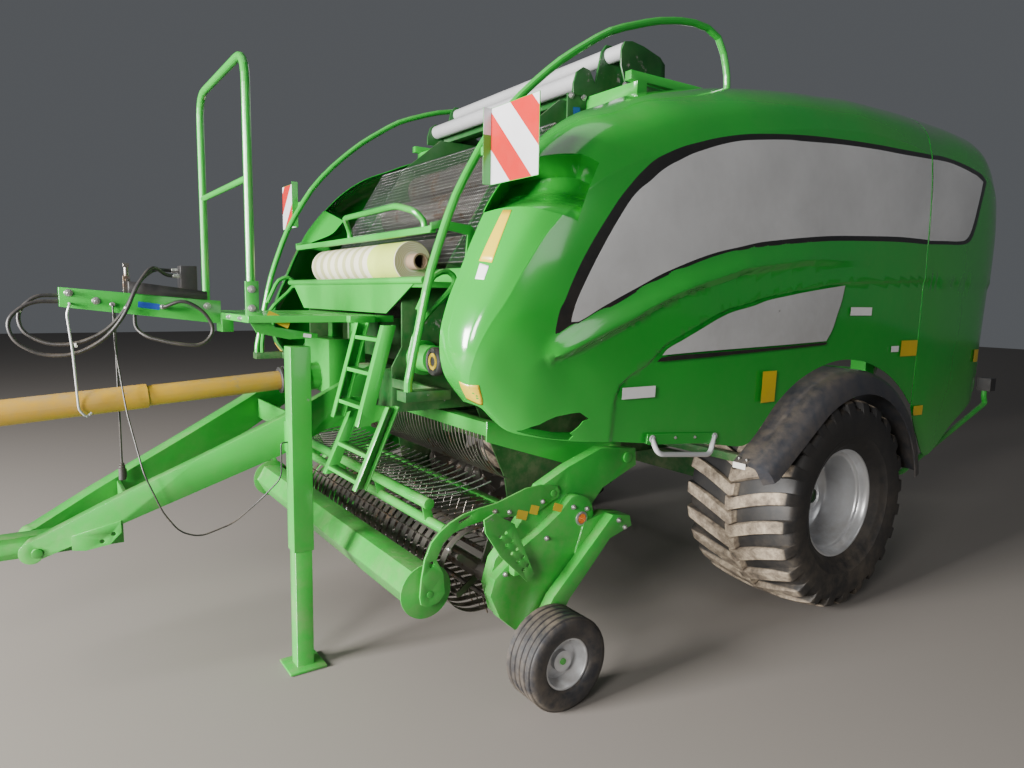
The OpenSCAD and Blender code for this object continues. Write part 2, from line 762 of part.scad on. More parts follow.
// bellows rings as radius steps along the cone
module shaft_cone() {
    color("#19191a") behind_axle() on_shaft(0) rotate_extrude() polygon(concat([[0, 0]],
        [for (i = [0 : 6]) each [[84 - i * 3, i * 20], [84 - i * 3, i * 20 + 12],
            [74 - i * 3, i * 20 + 16]]], [[0, 136]]));
}

module drive_shaft() {
    color("#d9a520") behind_axle() {
        on_shaft(136) cylinder(r = pto_r - 8, h = 600);
        on_shaft(736) cylinder(r = pto_r, h = 1000);
        on_shaft(1736) cylinder(r1 = pto_r + 14, r2 = pto_r + 22, h = 50);
    }
}

module front_yoke() {
    color("#77797b") behind_axle() on_shaft(1786) difference() {
        union() {
            cylinder(r = 34, h = 60);
            for (x = [-34, 22]) translate([x, -28, 40]) cube([12, 56, 90]);
        }
        translate([-60, 0, 105]) rotate([0, 90, 0]) cylinder(r = 12, h = 120);
    }
}

// Platform
module platform() {
    slot_x = (deck_right + 450) / 12;
    slot_y = (deck_rear - deck_front) / 6;
    color("#2a9836") behind_axle() {
        difference() {
            box(-450, deck_right, deck_front, deck_rear, deck_z, deck_top);
            for (i = [0 : 10]) for (j = [0 : 4]) translate([(i + 0.62) * slot_x - 450,
                deck_front + (j + 0.55) * slot_y, deck_z - 1])
                cube([0.62 * slot_x, 0.55 * slot_y, deck_t + 2]);
        }
        box(deck_right, 560, -2520, -2400, deck_z, deck_top);
        both() box(120, 180, cross_y, deck_rear, 1380, deck_z);
        box(-60, 60, deck_front, deck_front + 50, deck_z - 60, deck_z);
        side_on(rail_post + rail_tube + seat_gap) linear_extrude(8) polygon([[-2950, 1773],
            [-2895, 1775], [-2895, 1646], [-2830, 1580], [-2643, 1548], [-2643, 1530],
            [-2771, 1526], [-2908, 1556], [-2950, 1630]]);
        side_on(-arm_half) linear_extrude(2 * arm_half) polygon([[deck_front, arm_low(deck_front)],
            [deck_front, arm_top(deck_front)], [arm_tip, arm_top(arm_tip)],
            [arm_tip, arm_low(arm_tip)]]);
    }
}
// Arm that carries the hoses
deck_right = 520;
rail_post = 460;

module handrail() {
    y = deck_front + 30;
    color("#2faa3a") behind_axle() {
        swept_tube(rounded([[-420, y, deck_top], [-420, y, rail_top], [rail_post, y, rail_top],
            [rail_post, y, deck_top]], 130, 6), rail_tube, 16, [0, 1, 0]);
        pipe([-406, y, 2200], [rail_post - 14, y, 2200], rail_tube - 4);
    }
}

arm_half = 35;
arm_tip = -3595;
function arm_top(y) = 1684 - (y - deck_front) * 0.08;
function arm_low(y) = 1578 - (y - deck_front) * 0.117;

// Pad on the hose arm with the block that the hoses come from
block_y = -3120;

module hose_pad() {
    color("#222426") behind_axle() {
        side_on(-45) linear_extrude(90) polygon([[-3334, arm_top(-3334) + seat_gap], [-3334, 1767],
            [-3009, 1727], [-3009, arm_top(-3009) + seat_gap]]);
        box(-40, 40, block_y, block_y + 70, 1720, 1842);
    }
}

// Hoses and cables
wire_end_x = stand_x - 20;
// each route is a list of points in the axle frame
hose_one_route = [[-14, arm_tip - seat_gap, 1700], [-14, -3680, 1700], [-10, -3745, 1630],
    [5, -3735, 1550], [35, -3650, 1495], [65, -3540, 1495], [90, -3430, 1550], [100, -3350, 1650],
    [80, -3300, 1765], [30, -3230, 1822], [-14, -3175, 1820], [-14, block_y - seat_gap, 1820]];
hose_two_route = [[16, arm_tip - seat_gap, 1675], [16, -3700, 1675], [25, -3785, 1600],
    [35, -3765, 1510], [50, -3670, 1450], [75, -3550, 1450], [105, -3435, 1520],
    [130, -3360, 1625], [115, -3310, 1750], [70, -3240, 1840], [20, -3175, 1795],
    [20, block_y - seat_gap, 1795]];
hose_loop_route = [[arm_half + seat_gap, -3200, 1655], [90, -3200, 1655], [120, -3130, 1690],
    [120, -3040, 1640], [115, -2995, 1550], [110, -3050, 1480], [90, -3160, 1490],
    [40, -3270, 1520], [0, -3310, 1560], [0, -3310, arm_low(-3310) - 1.3]];
cable_route = [[-arm_half - seat_gap, -3380, 1660], [-95, -3380, 1660], [-100, -3380, 1400],
    [-95, -3380, 930]];
wire_route = [[arm_half + seat_gap, -3400, 1665], [60, -3400, 1665], [64, -3400, 1480],
    [150, -3375, 1200], [310, -3340, 960], [330, -3276, 786], [330, -3213, 690],
    [330, -3133, 655], [335, -2992, 694], [360, -2880, 790], [wire_end_x, stand_y - 75, 900],
    [wire_end_x, stand_y - 75, 1060], [wire_end_x, stand_y - stand_side / 2 - seat_gap, 1060]];

module hose_one() {
    color("#232323") behind_axle() swept_tube(rounded(hose_one_route, 60, 1), 8, 8, [1, 0.1, 0.1]);
}

module hose_two() {
    color("#5a5c5e") behind_axle() swept_tube(rounded(hose_two_route, 60, 1), 8, 8, [1, 0.1, 0.1]);
}

module hose_loop() {
    color("#5a5c5e") behind_axle() swept_tube(rounded(hose_loop_route, 60, 1), 8, 8, [0.9, 0.1, 0.4]);
}

module hanging_cable() {
    color("#1d1d1e") behind_axle() {
        swept_tube(rounded(cable_route, 50, 2), 5, 8, [0.1, 1, 0.1]);
        translate([-95, -3380, 850]) cylinder(r = 16, h = 82);
    }
}

module control_wire() {
    color("#1d1d1e") behind_axle() swept_tube(rounded(wire_route, 40, 1), 3.5, 8, [0.9, 0.1, 0.3]);
}

// Hook that holds up the drive shaft on the road
module hose_hook() {
    color("#aeb2b4") behind_axle() swept_tube(rounded([[arm_half + seat_gap, -3560, 1668],
        [98, -3560, 1668], [100, -3574, 1625], [98, -3560, 1470], [72, -3548, 1215],
        [66, -3520, 1180], [66, -3500, 1200]], 14, 2), 5, 8, [0.3, 1, 0.2]);
}

// Ladder
fold_y = -2482;
fold_z = 1235;
fold_r = 10;
rail_flange = 36;
rail_web = 5;
// rails as (y, z): front edge at the top and the bottom, then the width along y
upper_rail = [[-2499, deck_z], [-2616, 1185], 56];
lower_rail = [[-2495, 1262], [-2644, 925], 50];

// a channel rail, its web at x and its flanges towards the given side
module channel(x, side, rail) {
    w = rail[2];
    t = rail_web + 1;
    translate([x, 0, 0]) mirror([side < 0 ? 1 : 0, 0, 0]) difference() {
        side_on(0) linear_extrude(rail_flange) polygon([rail[0], rail[0] + [w, 0], rail[1] + [w, 0],
            rail[1]]);
        side_on(rail_web) linear_extrude(rail_flange) polygon([rail[0] + [t, 1], rail[0] + [w - t, 1],
            rail[1] + [w - t, -1], rail[1] + [t, -1]]);
    }
}

module ladder_upper() {
    color("#2faa3a") behind_axle() {
        channel(560, 1, upper_rail);
        channel(872, -1, upper_rail);
        for (z = [1250, 1390, 1530]) box(565, 867, upper_rail[0][0] - (deck_z - z) * 0.282 + 7,
            upper_rail[0][0] - (deck_z - z) * 0.282 + 50, z, z + 16);
        for (x = [560, 862]) side_on(x) linear_extrude(10) polygon([[-2600, 1245], [-2556, 1275],
            [-2470, 1258], [-2462, 1225], [-2480, 1212], [-2590, 1190]]);
        cross_pipe(fold_y, fold_z, 545, 560, fold_r);
        cross_pipe(fold_y, fold_z, 872, 887, fold_r);
        box(deck_right, 560, -2500, -2460, deck_z - 40, deck_z);
    }
}

module ladder_lower() {
    color("#2faa3a") behind_axle() {
        difference() {
            channel(560 - seat_gap, -1, lower_rail);
            cross_pipe(fold_y, fold_z, 500, 561, fold_r + run_gap);
        }
        difference() {
            channel(872 + seat_gap, 1, lower_rail);
            cross_pipe(fold_y, fold_z, 871, 930, fold_r + run_gap);
        }
        for (z = [945, 1050]) box(559.7, 872.3, lower_rail[0][0] - (1262 - z) * 0.442 + 6,
            lower_rail[0][0] - (1262 - z) * 0.442 + 46, z, z + 16);
    }
}

// Net binding
roll_seat = net_z - net_r - seat_gap;

module net_tray() {
    color("#2faa3a") behind_axle() {
        side_on(-900) linear_extrude(1800)
            polygon([[-2320, tray_z], [-2320, 1802], [-2310, 1802], [-2290, roll_seat],
                [-2130, roll_seat], [-2100, 1850], [-2092, 1850], [-2110, tray_z]]);
        cross_pipe(-2326, 1790, -900, 900, 16);
        front_on(-2320) linear_extrude(6) polygon([[-842, 1780], [807, 1780], [515, 1640],
            [-648, 1640]]);
        both() side_on(880) linear_extrude(10) polygon([[-2130, tray_z + 10], [-2110, 1990],
            [-2250, 2010], [-2290, 2000], [-2290, 2030], [-2240, 2045], [-2090, 2030],
            [-2060, 1990], [-2080, tray_z + 10]]);
        box(-700, 880, -2290, -2262, 1990, 2018);
        box(-880, -700, -2290, -2262, 1990, 2018);
        swept_tube(rounded([[-40, -2276, 2010], [-40, -2276, 2045], [-20, -2300, 2085],
            [20, -2330, 2112], [640, -2330, 2118], [780, -2310, 2085], [800, -2276, 2045],
            [800, -2276, 2010]], 40, 2), 14, 10, [0.2, 1, 0.1]);
    }
}

module net_roll() {
    color("#e8e6da") behind_axle() cross_pipe(net_y, net_z, -net_half, net_half, net_r);
}

// Warning hoops and boards
// foot and bends of a hoop as (y, z)
hoop_foot = [-2491, 1349];
hoop_bends = [[-2491, 1385], [-2395, 1826], [-2285, 2124], [-2124, 2395], [-1979, 2555], [-1775, 2731],
    [-1498, 2911], [-1192, hoop_top_z - 43], [-960, hoop_top_z], [-770, hoop_top_z - 20],
    [-701, 2860], [-701, upper_top]];

module hoops() {
    color("#2faa3a") behind_axle() both() {
        swept_tube(rounded([for (q = concat([hoop_foot], hoop_bends)) [upper_x, q[0], q[1]]], 90, 2), 17);
        swept_tube(rounded([for (q = hand_loop) [1040, q[0], q[1]]], 70, 2), 12, 8);
        box(1046, upper_x - 10, -2434, -2418, 1660, 1676);
    }
}
// points of the hand loop inside each hoop as (y, z)
hand_loop = [[-2470, 1349], [-2470, 1400], [-2450, 1560], [-2390, 1650], [-2292, 1735],
    [-2250, 1790], [-2290, 1830], [-2360, 1810], [-2428, 1668]];

module marker_boards() {
    color("#e8e8e8") behind_axle() both() {
        box(1177, 1495, -2182, -2178, 2160, 2450);
        box(upper_x + 17 + seat_gap, 1230, -2186, -2170, 2286, 2318);
    }
}

// Mesh in front of the rollers
module mesh_guard() {
    run = norm(mesh_high - mesh_low);
    lean = atan2(mesh_high[1] - mesh_low[1], mesh_high[0] - mesh_low[0]);
    color("#b9bcbc") behind_axle() translate([-940, mesh_low[0], mesh_low[1]]) rotate([lean, 0, 0])
        linear_extrude(4) difference() {
            square([1880, run]);
            for (i = [0 : 33]) for (j = [0 : 9])
                translate([16 + i * 54.5, 14 + j * 70.8]) square([48, 64]);
        }
}

// Pickup
// outline of a side plate as (y, z)
pickup_side = [[lift_y + 62, 915], [lift_y + 55, 1000], [lift_y - 60, 1012], [-1497, 1022],
    [-1697, 955], [-1850, 885], [-1905, 800], [-1990, 700], [-2090, 590], [-2122, 480],
    [-2085, 350], [-1990, 262], [-1720, 262], [-1690, 480], [-1605, 700], [-1480, 830]];
// outline of the case on its outer face
pickup_case = [[-2013, 272], [-2093, 346], [-2143, 456], [-2122, 525], [-2063, 572], [-1976, 645],
    [-1851, 715], [-1775, 765], [-1740, 800], [-1712, 826], [-1683, 834], [-1650, 828], [-1612, 808],
    [-1589, 775], [-1579, 731], [-1615, 625], [-1671, 492], [-1745, 364], [-1822, 338]];

module pickup_frame() {
    color("#2a9836") behind_axle() difference() {
        union() {
            both() {
                side_on(pickup_in) linear_extrude(pickup_out - pickup_in) polygon(pickup_side);
                cross_pipe(guard_y, guard_z, pickup_out, guard_arm_x + 14, 15);
                side_on(pickup_out) linear_extrude(case_t) polygon(pickup_case);
                side_on(pickup_out) linear_extrude(gauge_beam_x - pickup_out) polygon([[-1690, 560],
                    [-1640, 700], [-1515, 729], [-1409, 712], [-1396, 661], [-1500, 610]]);
                box(pickup_out + case_t, hole_plate_x, -2050, -2005, 540, 600);
                difference() {
                    side_on(hole_plate_x) linear_extrude(8) polygon([[-2210, 815], [-2161, 835],
                        [-2059, 775], [-1949, 532], [-1984, 502], [-2125, 642], [-2201, 757]]);
                    for (i = [0 : 4]) for (j = [0, 1]) side_on(hole_plate_x - 1)
                        translate([-2125 + i * 29 + j * 26, 728 - i * 41 + j * 14, 0])
                            cylinder(r = 9, h = 10);
                }
            }
            box(-pickup_in, pickup_in, band_end, band_end + 40, reel_z + band_r - 30, reel_z + band_r + 10);
            box(-pickup_in, pickup_in, band_end, band_end + 40, reel_z - band_r - 10, reel_z - band_r + 30);
        }
        both() cross_pipe(lift_y, lift_z, pickup_in - 1, pickup_out + 1, lift_pin_r + run_gap);
    }
}
band_end = -1765;
band_t = 3;

module pickup_bands() {
    color("#5c5a58") behind_axle()
        for (i = [0 : tine_count])
            side_on((i - tine_count / 2) * tine_pitch - 21) linear_extrude(42) difference() {
                union() {
                    translate([reel_y, reel_z]) circle(r = band_r, $fn = 128);
                    translate([reel_y, reel_z - band_r]) square([band_end - reel_y, 2 * band_r]);
                }
                translate([reel_y, reel_z]) circle(r = band_r - band_t, $fn = 128);
                translate([reel_y, reel_z - band_r + band_t]) square([400, 2 * (band_r - band_t)]);
            }
}

module pickup_reel() {
    color("#6a6864") behind_axle() {
        cross_pipe(reel_y, reel_z, seat_gap - pickup_in, pickup_in - seat_gap, 40);
        for (b = [0 : tine_bars - 1]) translate([0, reel_y, reel_z]) rotate([b * 360 / tine_bars, 0, 0]) {
            for (x = [-920, 0, 920]) box(x - 4, x + 4, 30, 150, -15, 15);
            cross_pipe(150, 0, -924, 924, 12);
            for (i = [0 : tine_count - 1])
                translate([(i + 0.5 - tine_count / 2) * tine_pitch, 150, 0]) rotate([-90, 0, 0])
                    cylinder(r = tine_wire, h = tine_r - 150);
        }
    }
}

// Intake wings with the comb of wires over the pickup
comb_count = 52;
comb_pitch = 35;
comb_bend = 260;

module crop_comb() {
    color("#2a9836") behind_axle() {
        box(-wing_in, wing_in, -2056, -2000, 1110, 1170);
        both() {
            side_on(wing_in) linear_extrude(wing_t) polygon([[-2070, 1090], [-2070, 1180],
                [-1700, 1100], [lift_y + 60, 1060], [lift_y + 60, 900], [-1500, 900]]);
            cross_pipe(lift_y, lift_z, wing_in + wing_t, pickup_in - seat_gap, stub_r);
            cross_pipe(lift_y, lift_z, pickup_in - seat_gap, pickup_out + 8, lift_pin_r);
        }
    }
}

module comb_wires() {
    color("#9a9a96") behind_axle() for (i = [0 : comb_count - 1])
        side_on((i + 0.5 - comb_count / 2) * comb_pitch) translate([comb_bend - 2028, 1110, 0])
            rotate([0, 0, 180]) rotate_extrude(angle = 62, $fn = 96) translate([comb_bend, 0])
                circle(r = 3.5, $fn = 16);
}

// Crop guard
module crop_guard() {
    color("#2faa3a") behind_axle() difference() {
        union() {
            both() side_on(guard_arm_x) linear_extrude(10) polygon(guard_arm);
            cross_pipe(-2340, 770, -guard_arm_x, guard_arm_x, 22);
            cross_pipe(bar_y, bar_z, -1016, 1016, bar_r);
            for (x = [-980, -490, -4, 482, 972]) side_on(x) linear_extrude(8)
                polygon([[-2362, 775], [-2320, 775], [-2344, bar_z], [-2380, bar_z]]);
        }
        both() cross_pipe(guard_y, guard_z, guard_arm_x - 1, guard_arm_x + 11, 15 + run_gap);
        both() cross_pipe(press_y, press_z, guard_arm_x - 1, guard_arm_x + 11, 15 + run_gap);
        both() side_on(guard_arm_x - 1) linear_extrude(12) translate([-2277, 796]) rotate(18) union() {
            circle(r = 7);
            translate([0, -7]) square([50, 14]);
            translate([50, 0]) circle(r = 7);
        }
        both() cross_pipe(-2408, 640, guard_arm_x - 1, guard_arm_x + 11, 13);
    }
}
bar_y = -2362;
bar_z = 858;
bar_r = 24;
// outline of a guard arm as (y, z)
guard_arm = [[guard_y + 28, guard_z - 25], [guard_y + 36, guard_z + 5], [guard_y + 20, guard_z + 32],
    [-1858, 897], [-1940, 893], [-2011, 873], [-2096, 849], [-2180, 840], [-2261, 825], [-2324, 799],
    [-2371, 768], [-2409, 730], [-2439, 666], [-2454, 585], [press_y - 46, 510],
    [press_y - 40, 478], [press_y - 10, 462], [press_y + 40, 472], [-2346, 504], [-2354, 592],
    [-2386, 655], [-2355, 720], [-2308, 754], [-2245, 772], [-2179, 782], [-2078, 780],
    [-1973, 778], [-1864, 783], [-1800, 814]];

module guard_wires() {
    color("#8a8a86") behind_axle() for (i = [0 : 25]) side_on((i - 12.5) * 70)
        translate([wire_low_y, bar_z - 16 + wire_bend, 0]) rotate([0, 0, 270 + wire_start])
            rotate_extrude(angle = wire_stop - wire_start, $fn = 96) translate([wire_bend, 0])
                circle(r = 4, $fn = 16);
}
wire_bend = 720;
wire_low_y = -2170;
wire_start = asin((bar_y + bar_r + 1.2 - wire_low_y) / wire_bend);
wire_stop = 16.5;

module press_roller() {
    color("#2faa3a") behind_axle() {
        side_on(-press_half) translate([press_y, press_z]) cylinder(r = press_r, h = 2 * press_half, $fn = 6);
        both() {
            cross_pipe(press_y, press_z, press_half, press_half + 6, press_r + 20);
            cross_pipe(press_y, press_z, press_half + 6, guard_arm_x + 12, 15);
        }
    }
}

// Gauge wheels
module gauge_arms() {
    color("#2faa3a") behind_axle() both() {
        side_on(gauge_beam_x) linear_extrude(56) polygon([[-1515, 729], [-1409, 712], [-1396, 661],
            [-1531, 621], [-1760, 385], [gauge_y + 60, gauge_r + 30], [gauge_y + 40, gauge_r - 25],
            [gauge_y, gauge_r - 35], [gauge_y - 35, gauge_r], [gauge_y - 20, gauge_r + 60],
            [-1855, 407]]);
        cross_pipe(gauge_y, gauge_r, gauge_beam_x + 56, gauge_x + 50, gauge_spindle_r);
    }
}

// half section of the gauge tyre as (radius, across)
module gauge_tyre() {
    w = gauge_w / 2;
    rib = (gauge_w - 60) / 5;
    color("#1c1c1c") translate([gauge_x, axle_y + gauge_y, gauge_r]) rotate([0, 90, 0])
        rotate_extrude($fn = 96) polygon(concat([[gauge_bead, 20 - w], [gauge_bead + 7, 12 - w],
            [0.74 * gauge_r, -w], [0.88 * gauge_r, 4 - w], [gauge_r - 7, 26 - w]],
            [for (i = [-2 : 2]) each [[gauge_r, i * rib - 9], [gauge_r, i * rib + 6],
                [gauge_r - 7, i * rib + 9], [gauge_r - 7, i * rib + 13]]],
            [[gauge_r - 7, w - 26], [0.88 * gauge_r, w - 4], [0.74 * gauge_r, w],
                [gauge_bead + 7, w - 12], [gauge_bead, w - 20]]));
}

module gauge_rim() {
    w = gauge_w / 2;
    bore = gauge_spindle_r + run_gap;
    b = gauge_bead - seat_gap;
    color("#b4b6b8") translate([gauge_x, axle_y + gauge_y, gauge_r]) rotate([0, 90, 0])
        rotate_extrude($fn = 64) polygon([[b, 20 - w], [b, w - 20], [b - 9, w - 20], [b - 18, w - 50],
            [b - 26, 10], [45, 20], [45, 45], [bore, 45], [bore, -45], [45, -45], [45, 4],
            [b - 26, -6], [b - 18, 50 - w], [b - 9, 20 - w]]);
}

module left_gauge_tyre() {
    gauge_tyre();
}

module right_gauge_tyre() {
    mirror([1, 0, 0]) gauge_tyre();
}

module left_gauge_rim() {
    gauge_rim();
}

module right_gauge_rim() {
    mirror([1, 0, 0]) gauge_rim();
}

// Wrapper
guide_r = 30;

module ring_portal() {
    color("#2a9836") behind_axle() both() {
        box(portal_in, fender_in, portal_y0, portal_y1, rail_top_z, portal_top);
        box(0, portal_in, portal_y0, portal_y1, portal_top - 100, portal_top);
        box(upper_in, upper_out, portal_y0, portal_y1, portal_top, upper_z);
        for (s = [1, -1]) translate([0, 0, ring_z]) {
            a = s * guide_angle;
            g = ring_in - guide_r - seat_gap;
            translate([g * cos(a), portal_y1, g * sin(a)]) rotate([-90, 0, 0])
                cylinder(r = guide_r, h = ring_y + ring_t - portal_y1);
            translate([0, portal_y1, 0]) mirror([0, 0, s < 0 ? 1 : 0]) rotate([90, 0, 0])
                translate([0, 0, -12]) linear_extrude(12) polygon([
                    [g * cos(guide_angle) - 45, g * sin(guide_angle) - 20],
                    [g * cos(guide_angle) + 10, g * sin(guide_angle) - 50],
                    [portal_in + 60, g * sin(guide_angle) - 200],
                    [portal_in + 60, g * sin(guide_angle) + 60],
                    [g * cos(guide_angle) - 40, g * sin(guide_angle) + 60]]);
        }
        box(fender_in, 1180, portal_y1 - 40, portal_y1, 1780, 1840);
        box(1140, 1180, portal_y1, portal_y1 + 40, 1780, 1840);
        box(1180, panel_out - skin - 2, portal_y1, portal_y1 + 40, 1780, 1840);
    }
}
guide_angle = 38;

module wrap_ring() {
    color("#9fa3a6") behind_axle() translate([0, ring_y + ring_t, ring_z]) rotate([90, 0, 0])
        difference() {
            cylinder(r = ring_out, h = ring_t, $fn = 128);
            translate([0, 0, -1]) cylinder(r = ring_in, h = ring_t + 2, $fn = 128);
        }
}

module film_dispensers() {
    y = ring_y + ring_t;
    color("#2a9836") behind_axle() for (s = [0, 180]) translate([0, 0, ring_z]) rotate([0, s, 0]) {
        box(ring_in + 10, ring_out, y, y + 12, -220, 220);
        for (z = [-160, -50, 60])
            translate([ring_in + 50, y + 12, z]) rotate([-90, 0, 0]) cylinder(r = 36, h = 640);
        translate([ring_in + 50, y + 12, 160]) rotate([-90, 0, 0]) cylinder(r = 22, h = 660);
        box(ring_in + 30, ring_out - 20, y + 652, y + 664, -200, 110);
    }
}

module wrap_table() {
    color("#2a9836") behind_axle() both() difference() {
        union() {
            box(300, 380, 560, 1700, 970, 1050);
            side_on(302) linear_extrude(76) polygon([[table_y - 70, 970], [table_y - 45, 870],
                [table_y + 45, 870], [table_y + 70, 970]]);
            for (y = [650, 1620]) {
                side_on(300) linear_extrude(20) polygon([[y - 60, 1050], [y - 50, 1130],
                    [y + 50, 1130], [y + 60, 1050]]);
            }
        }
        cross_pipe(table_y, table_z, 290, 390, table_pin_r + run_gap);
    }
    color("#2a9836") behind_axle() for (y = [650, 1620]) cross_pipe(y, 1170, -600, 600, 55);
    color("#2a9836") behind_axle() box(-300, 300, 1100, 1160, 980, 1040);
}

lamp_z = 1110;

module rear_lamps() {
    color("#202123") behind_axle() both() box(1255, 1345, 1970, 2050, lamp_z, lamp_z + 90);
}

module rear_bumper() {
    color("#2a9836") behind_axle() both() swept_tube(rounded([[1100, 750, rail_z + 20],
        [1100, 750, 640], [1300, 900, 640], [1300, 1202, 744], [1300, 2021, 1017],
        [1300, 1990, 1060], [1300, 1990, lamp_z]], 30, 3), 18, 10, [0.6, -0.6, 0.1]);
}

main_frame();
axle();
left_tyre();
right_tyre();
left_rim();
right_rim();
chamber_sides();
chamber_rollers();
chamber_door();
feed_rotor();
upper_frame();
top_tubes();
top_unit();
left_door();
right_door();
rear_panels();
fenders();
drawbar();
hitch_tongue();
stand_tube();
stand_leg();
gearbox();
shaft_cone();
drive_shaft();
front_yoke();
platform();
handrail();
hose_pad();
hose_hook();
hose_one();
hose_two();
hose_loop();
hanging_cable();
control_wire();
ladder_upper();
ladder_lower();
net_tray();
net_roll();
hoops();
marker_boards();
mesh_guard();
pickup_frame();
pickup_bands();
pickup_reel();
crop_comb();
comb_wires();
crop_guard();
guard_wires();
press_roller();
gauge_arms();
left_gauge_tyre();
right_gauge_tyre();
left_gauge_rim();
right_gauge_rim();
ring_portal();
wrap_ring();
film_dispensers();
wrap_table();
rear_bumper();
rear_lamps();
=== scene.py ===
import json
import math

import bmesh
import bpy
from mathutils import Matrix, Vector
from mathutils.bvhtree import BVHTree


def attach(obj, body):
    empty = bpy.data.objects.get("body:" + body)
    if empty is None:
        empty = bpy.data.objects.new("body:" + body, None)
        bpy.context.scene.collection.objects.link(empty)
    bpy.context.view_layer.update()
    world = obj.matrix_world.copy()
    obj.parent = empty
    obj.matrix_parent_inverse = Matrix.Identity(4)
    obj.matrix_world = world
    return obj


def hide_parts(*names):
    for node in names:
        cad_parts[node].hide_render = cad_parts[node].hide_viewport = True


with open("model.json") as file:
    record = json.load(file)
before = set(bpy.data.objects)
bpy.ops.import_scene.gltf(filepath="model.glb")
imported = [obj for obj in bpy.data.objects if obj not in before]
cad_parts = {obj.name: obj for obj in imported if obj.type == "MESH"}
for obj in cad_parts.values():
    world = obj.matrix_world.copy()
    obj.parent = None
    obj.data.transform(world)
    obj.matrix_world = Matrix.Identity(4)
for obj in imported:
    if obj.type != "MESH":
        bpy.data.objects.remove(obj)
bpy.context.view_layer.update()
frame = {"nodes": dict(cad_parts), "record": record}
SLOTS = {row["slot"] for row in frame["record"]["materials"]}

# Places are written in millimetres: x to the left and y to the rear from the middle of the wheel axle,
# z up from the ground.
AXLE_BACK = 1250
SIDES = (("left", 1), ("right", -1))
WHEEL_OUT, WHEEL_UP = 1155, 610
WHOLE_TURN = 2 * math.pi


def at(x, y, z):
    return Vector((x / 1000, (y + AXLE_BACK) / 1000, z / 1000))


# Camera, lights and floor
SENSOR, LENS = 36, 25.32
CAMERA_PLACE = (3626, -3744, 1728)
CAMERA_TURN, CAMERA_DIP, CAMERA_ROLL = 55.523, 6.933, 0.955


def set_camera():
    data = bpy.data.cameras.new("camera")
    data.sensor_width = SENSOR
    data.lens = LENS
    data.clip_start = 0.05
    cam = bpy.data.objects.new("camera", data)
    bpy.context.scene.collection.objects.link(cam)
    turn, dip, roll = (math.radians(angle) for angle in (CAMERA_TURN, CAMERA_DIP, CAMERA_ROLL))
    ahead = Vector((-math.sin(turn) * math.cos(dip), math.cos(turn) * math.cos(dip), -math.sin(dip)))
    right = Vector((math.cos(turn), math.sin(turn), 0))
    down = ahead.cross(right)
    side = right * math.cos(roll) - down * math.sin(roll)
    low = right * math.sin(roll) + down * math.cos(roll)
    basis = Matrix((side, -low, -ahead)).transposed().to_4x4()
    basis.translation = at(*CAMERA_PLACE)
    cam.matrix_world = basis
    bpy.context.scene.camera = cam


def soft_light(name, place, aim, size, watts, tint=(1, 1, 1)):
    data = bpy.data.lights.new(name, "AREA")
    data.size = size
    data.energy = watts
    data.color = tint
    lamp = bpy.data.objects.new(name, data)
    bpy.context.scene.collection.objects.link(lamp)
    lamp.location = place
    lamp.rotation_euler = (Vector(aim) - Vector(place)).to_track_quat("-Z", "Y").to_euler()


DAYLIGHT, FLOOR_COLOUR, FLOOR_HALF = (1.0, 0.98, 0.95), (0.19, 0.172, 0.155, 1), 30


def set_studio():
    world = bpy.data.worlds.new("studio")
    bpy.context.scene.world = world
    world.use_nodes = True
    tree = world.node_tree
    sky = tree.nodes["Background"]
    sky.inputs["Color"].default_value = (0.72, 0.76, 0.82, 1)
    sky.inputs["Strength"].default_value = 0.13
    soft_light("front_door", (0.4, -10.5, 2.9), (0.3, -1.0, 1.2), 3.4, 4700, DAYLIGHT)
    soft_light("door_edge", (4.6, -7.0, 3.0), (1.2, -1.2, 1.4), 1.6, 520, DAYLIGHT)
    soft_light("left_window", (8.5, 1.5, 4.0), (0, 0.6, 1.2), 2.6, 60)
    soft_light("back_fill", (-6.5, 5.5, 5.0), (0, 0.5, 1.2), 4.0, 70)
    soft_light("roof", (0.5, -1.0, 8.0), (0, 0, 0), 4.0, 55)
    mesh = bpy.data.meshes.new("floor")
    corners = [(x * FLOOR_HALF, y * FLOOR_HALF, 0) for x, y in ((-1, -1), (1, -1), (1, 1), (-1, 1))]
    mesh.from_pydata(corners, [], [(0, 1, 2, 3)])
    floor = bpy.data.objects.new("floor", mesh)
    bpy.context.scene.collection.objects.link(floor)
    floor.location.z = -0.002
    finish = bpy.data.materials.new("studio_floor")
    finish.use_nodes = True
    shader = finish.node_tree.nodes["Principled BSDF"]
    shader.inputs["Base Color"].default_value = FLOOR_COLOUR
    shader.inputs["Roughness"].default_value = 0.9
    mesh.materials.append(finish)


# Shader groups
def fill(tree, socket, value):
    """links a node's output to a socket, or sets the socket to a plain value"""
    if isinstance(value, bpy.types.NodeSocket):
        tree.links.new(value, socket)
    else:
        socket.default_value = value


def shader_group(name, inputs, outputs):
    tree = bpy.data.node_groups.new(name, "ShaderNodeTree")
    add = tree.interface.new_socket
    for label, kind, value in inputs:
        add(label, in_out="INPUT", socket_type="NodeSocket" + kind).default_value = value
    for label, kind in outputs:
        add(label, in_out="OUTPUT", socket_type="NodeSocket" + kind)
    return tree, tree.nodes.new("NodeGroupInput").outputs, tree.nodes.new("NodeGroupOutput").inputs


def node(tree, kind, settings=None, **sockets):
    made = tree.nodes.new("ShaderNode" + kind)
    for key, value in (settings or {}).items():
        setattr(made, key, value)
    for key, value in sockets.items():
        fill(tree, made.inputs[int(key[1:]) if key[1:].isdigit() else key.replace("_", " ")], value)
    return made


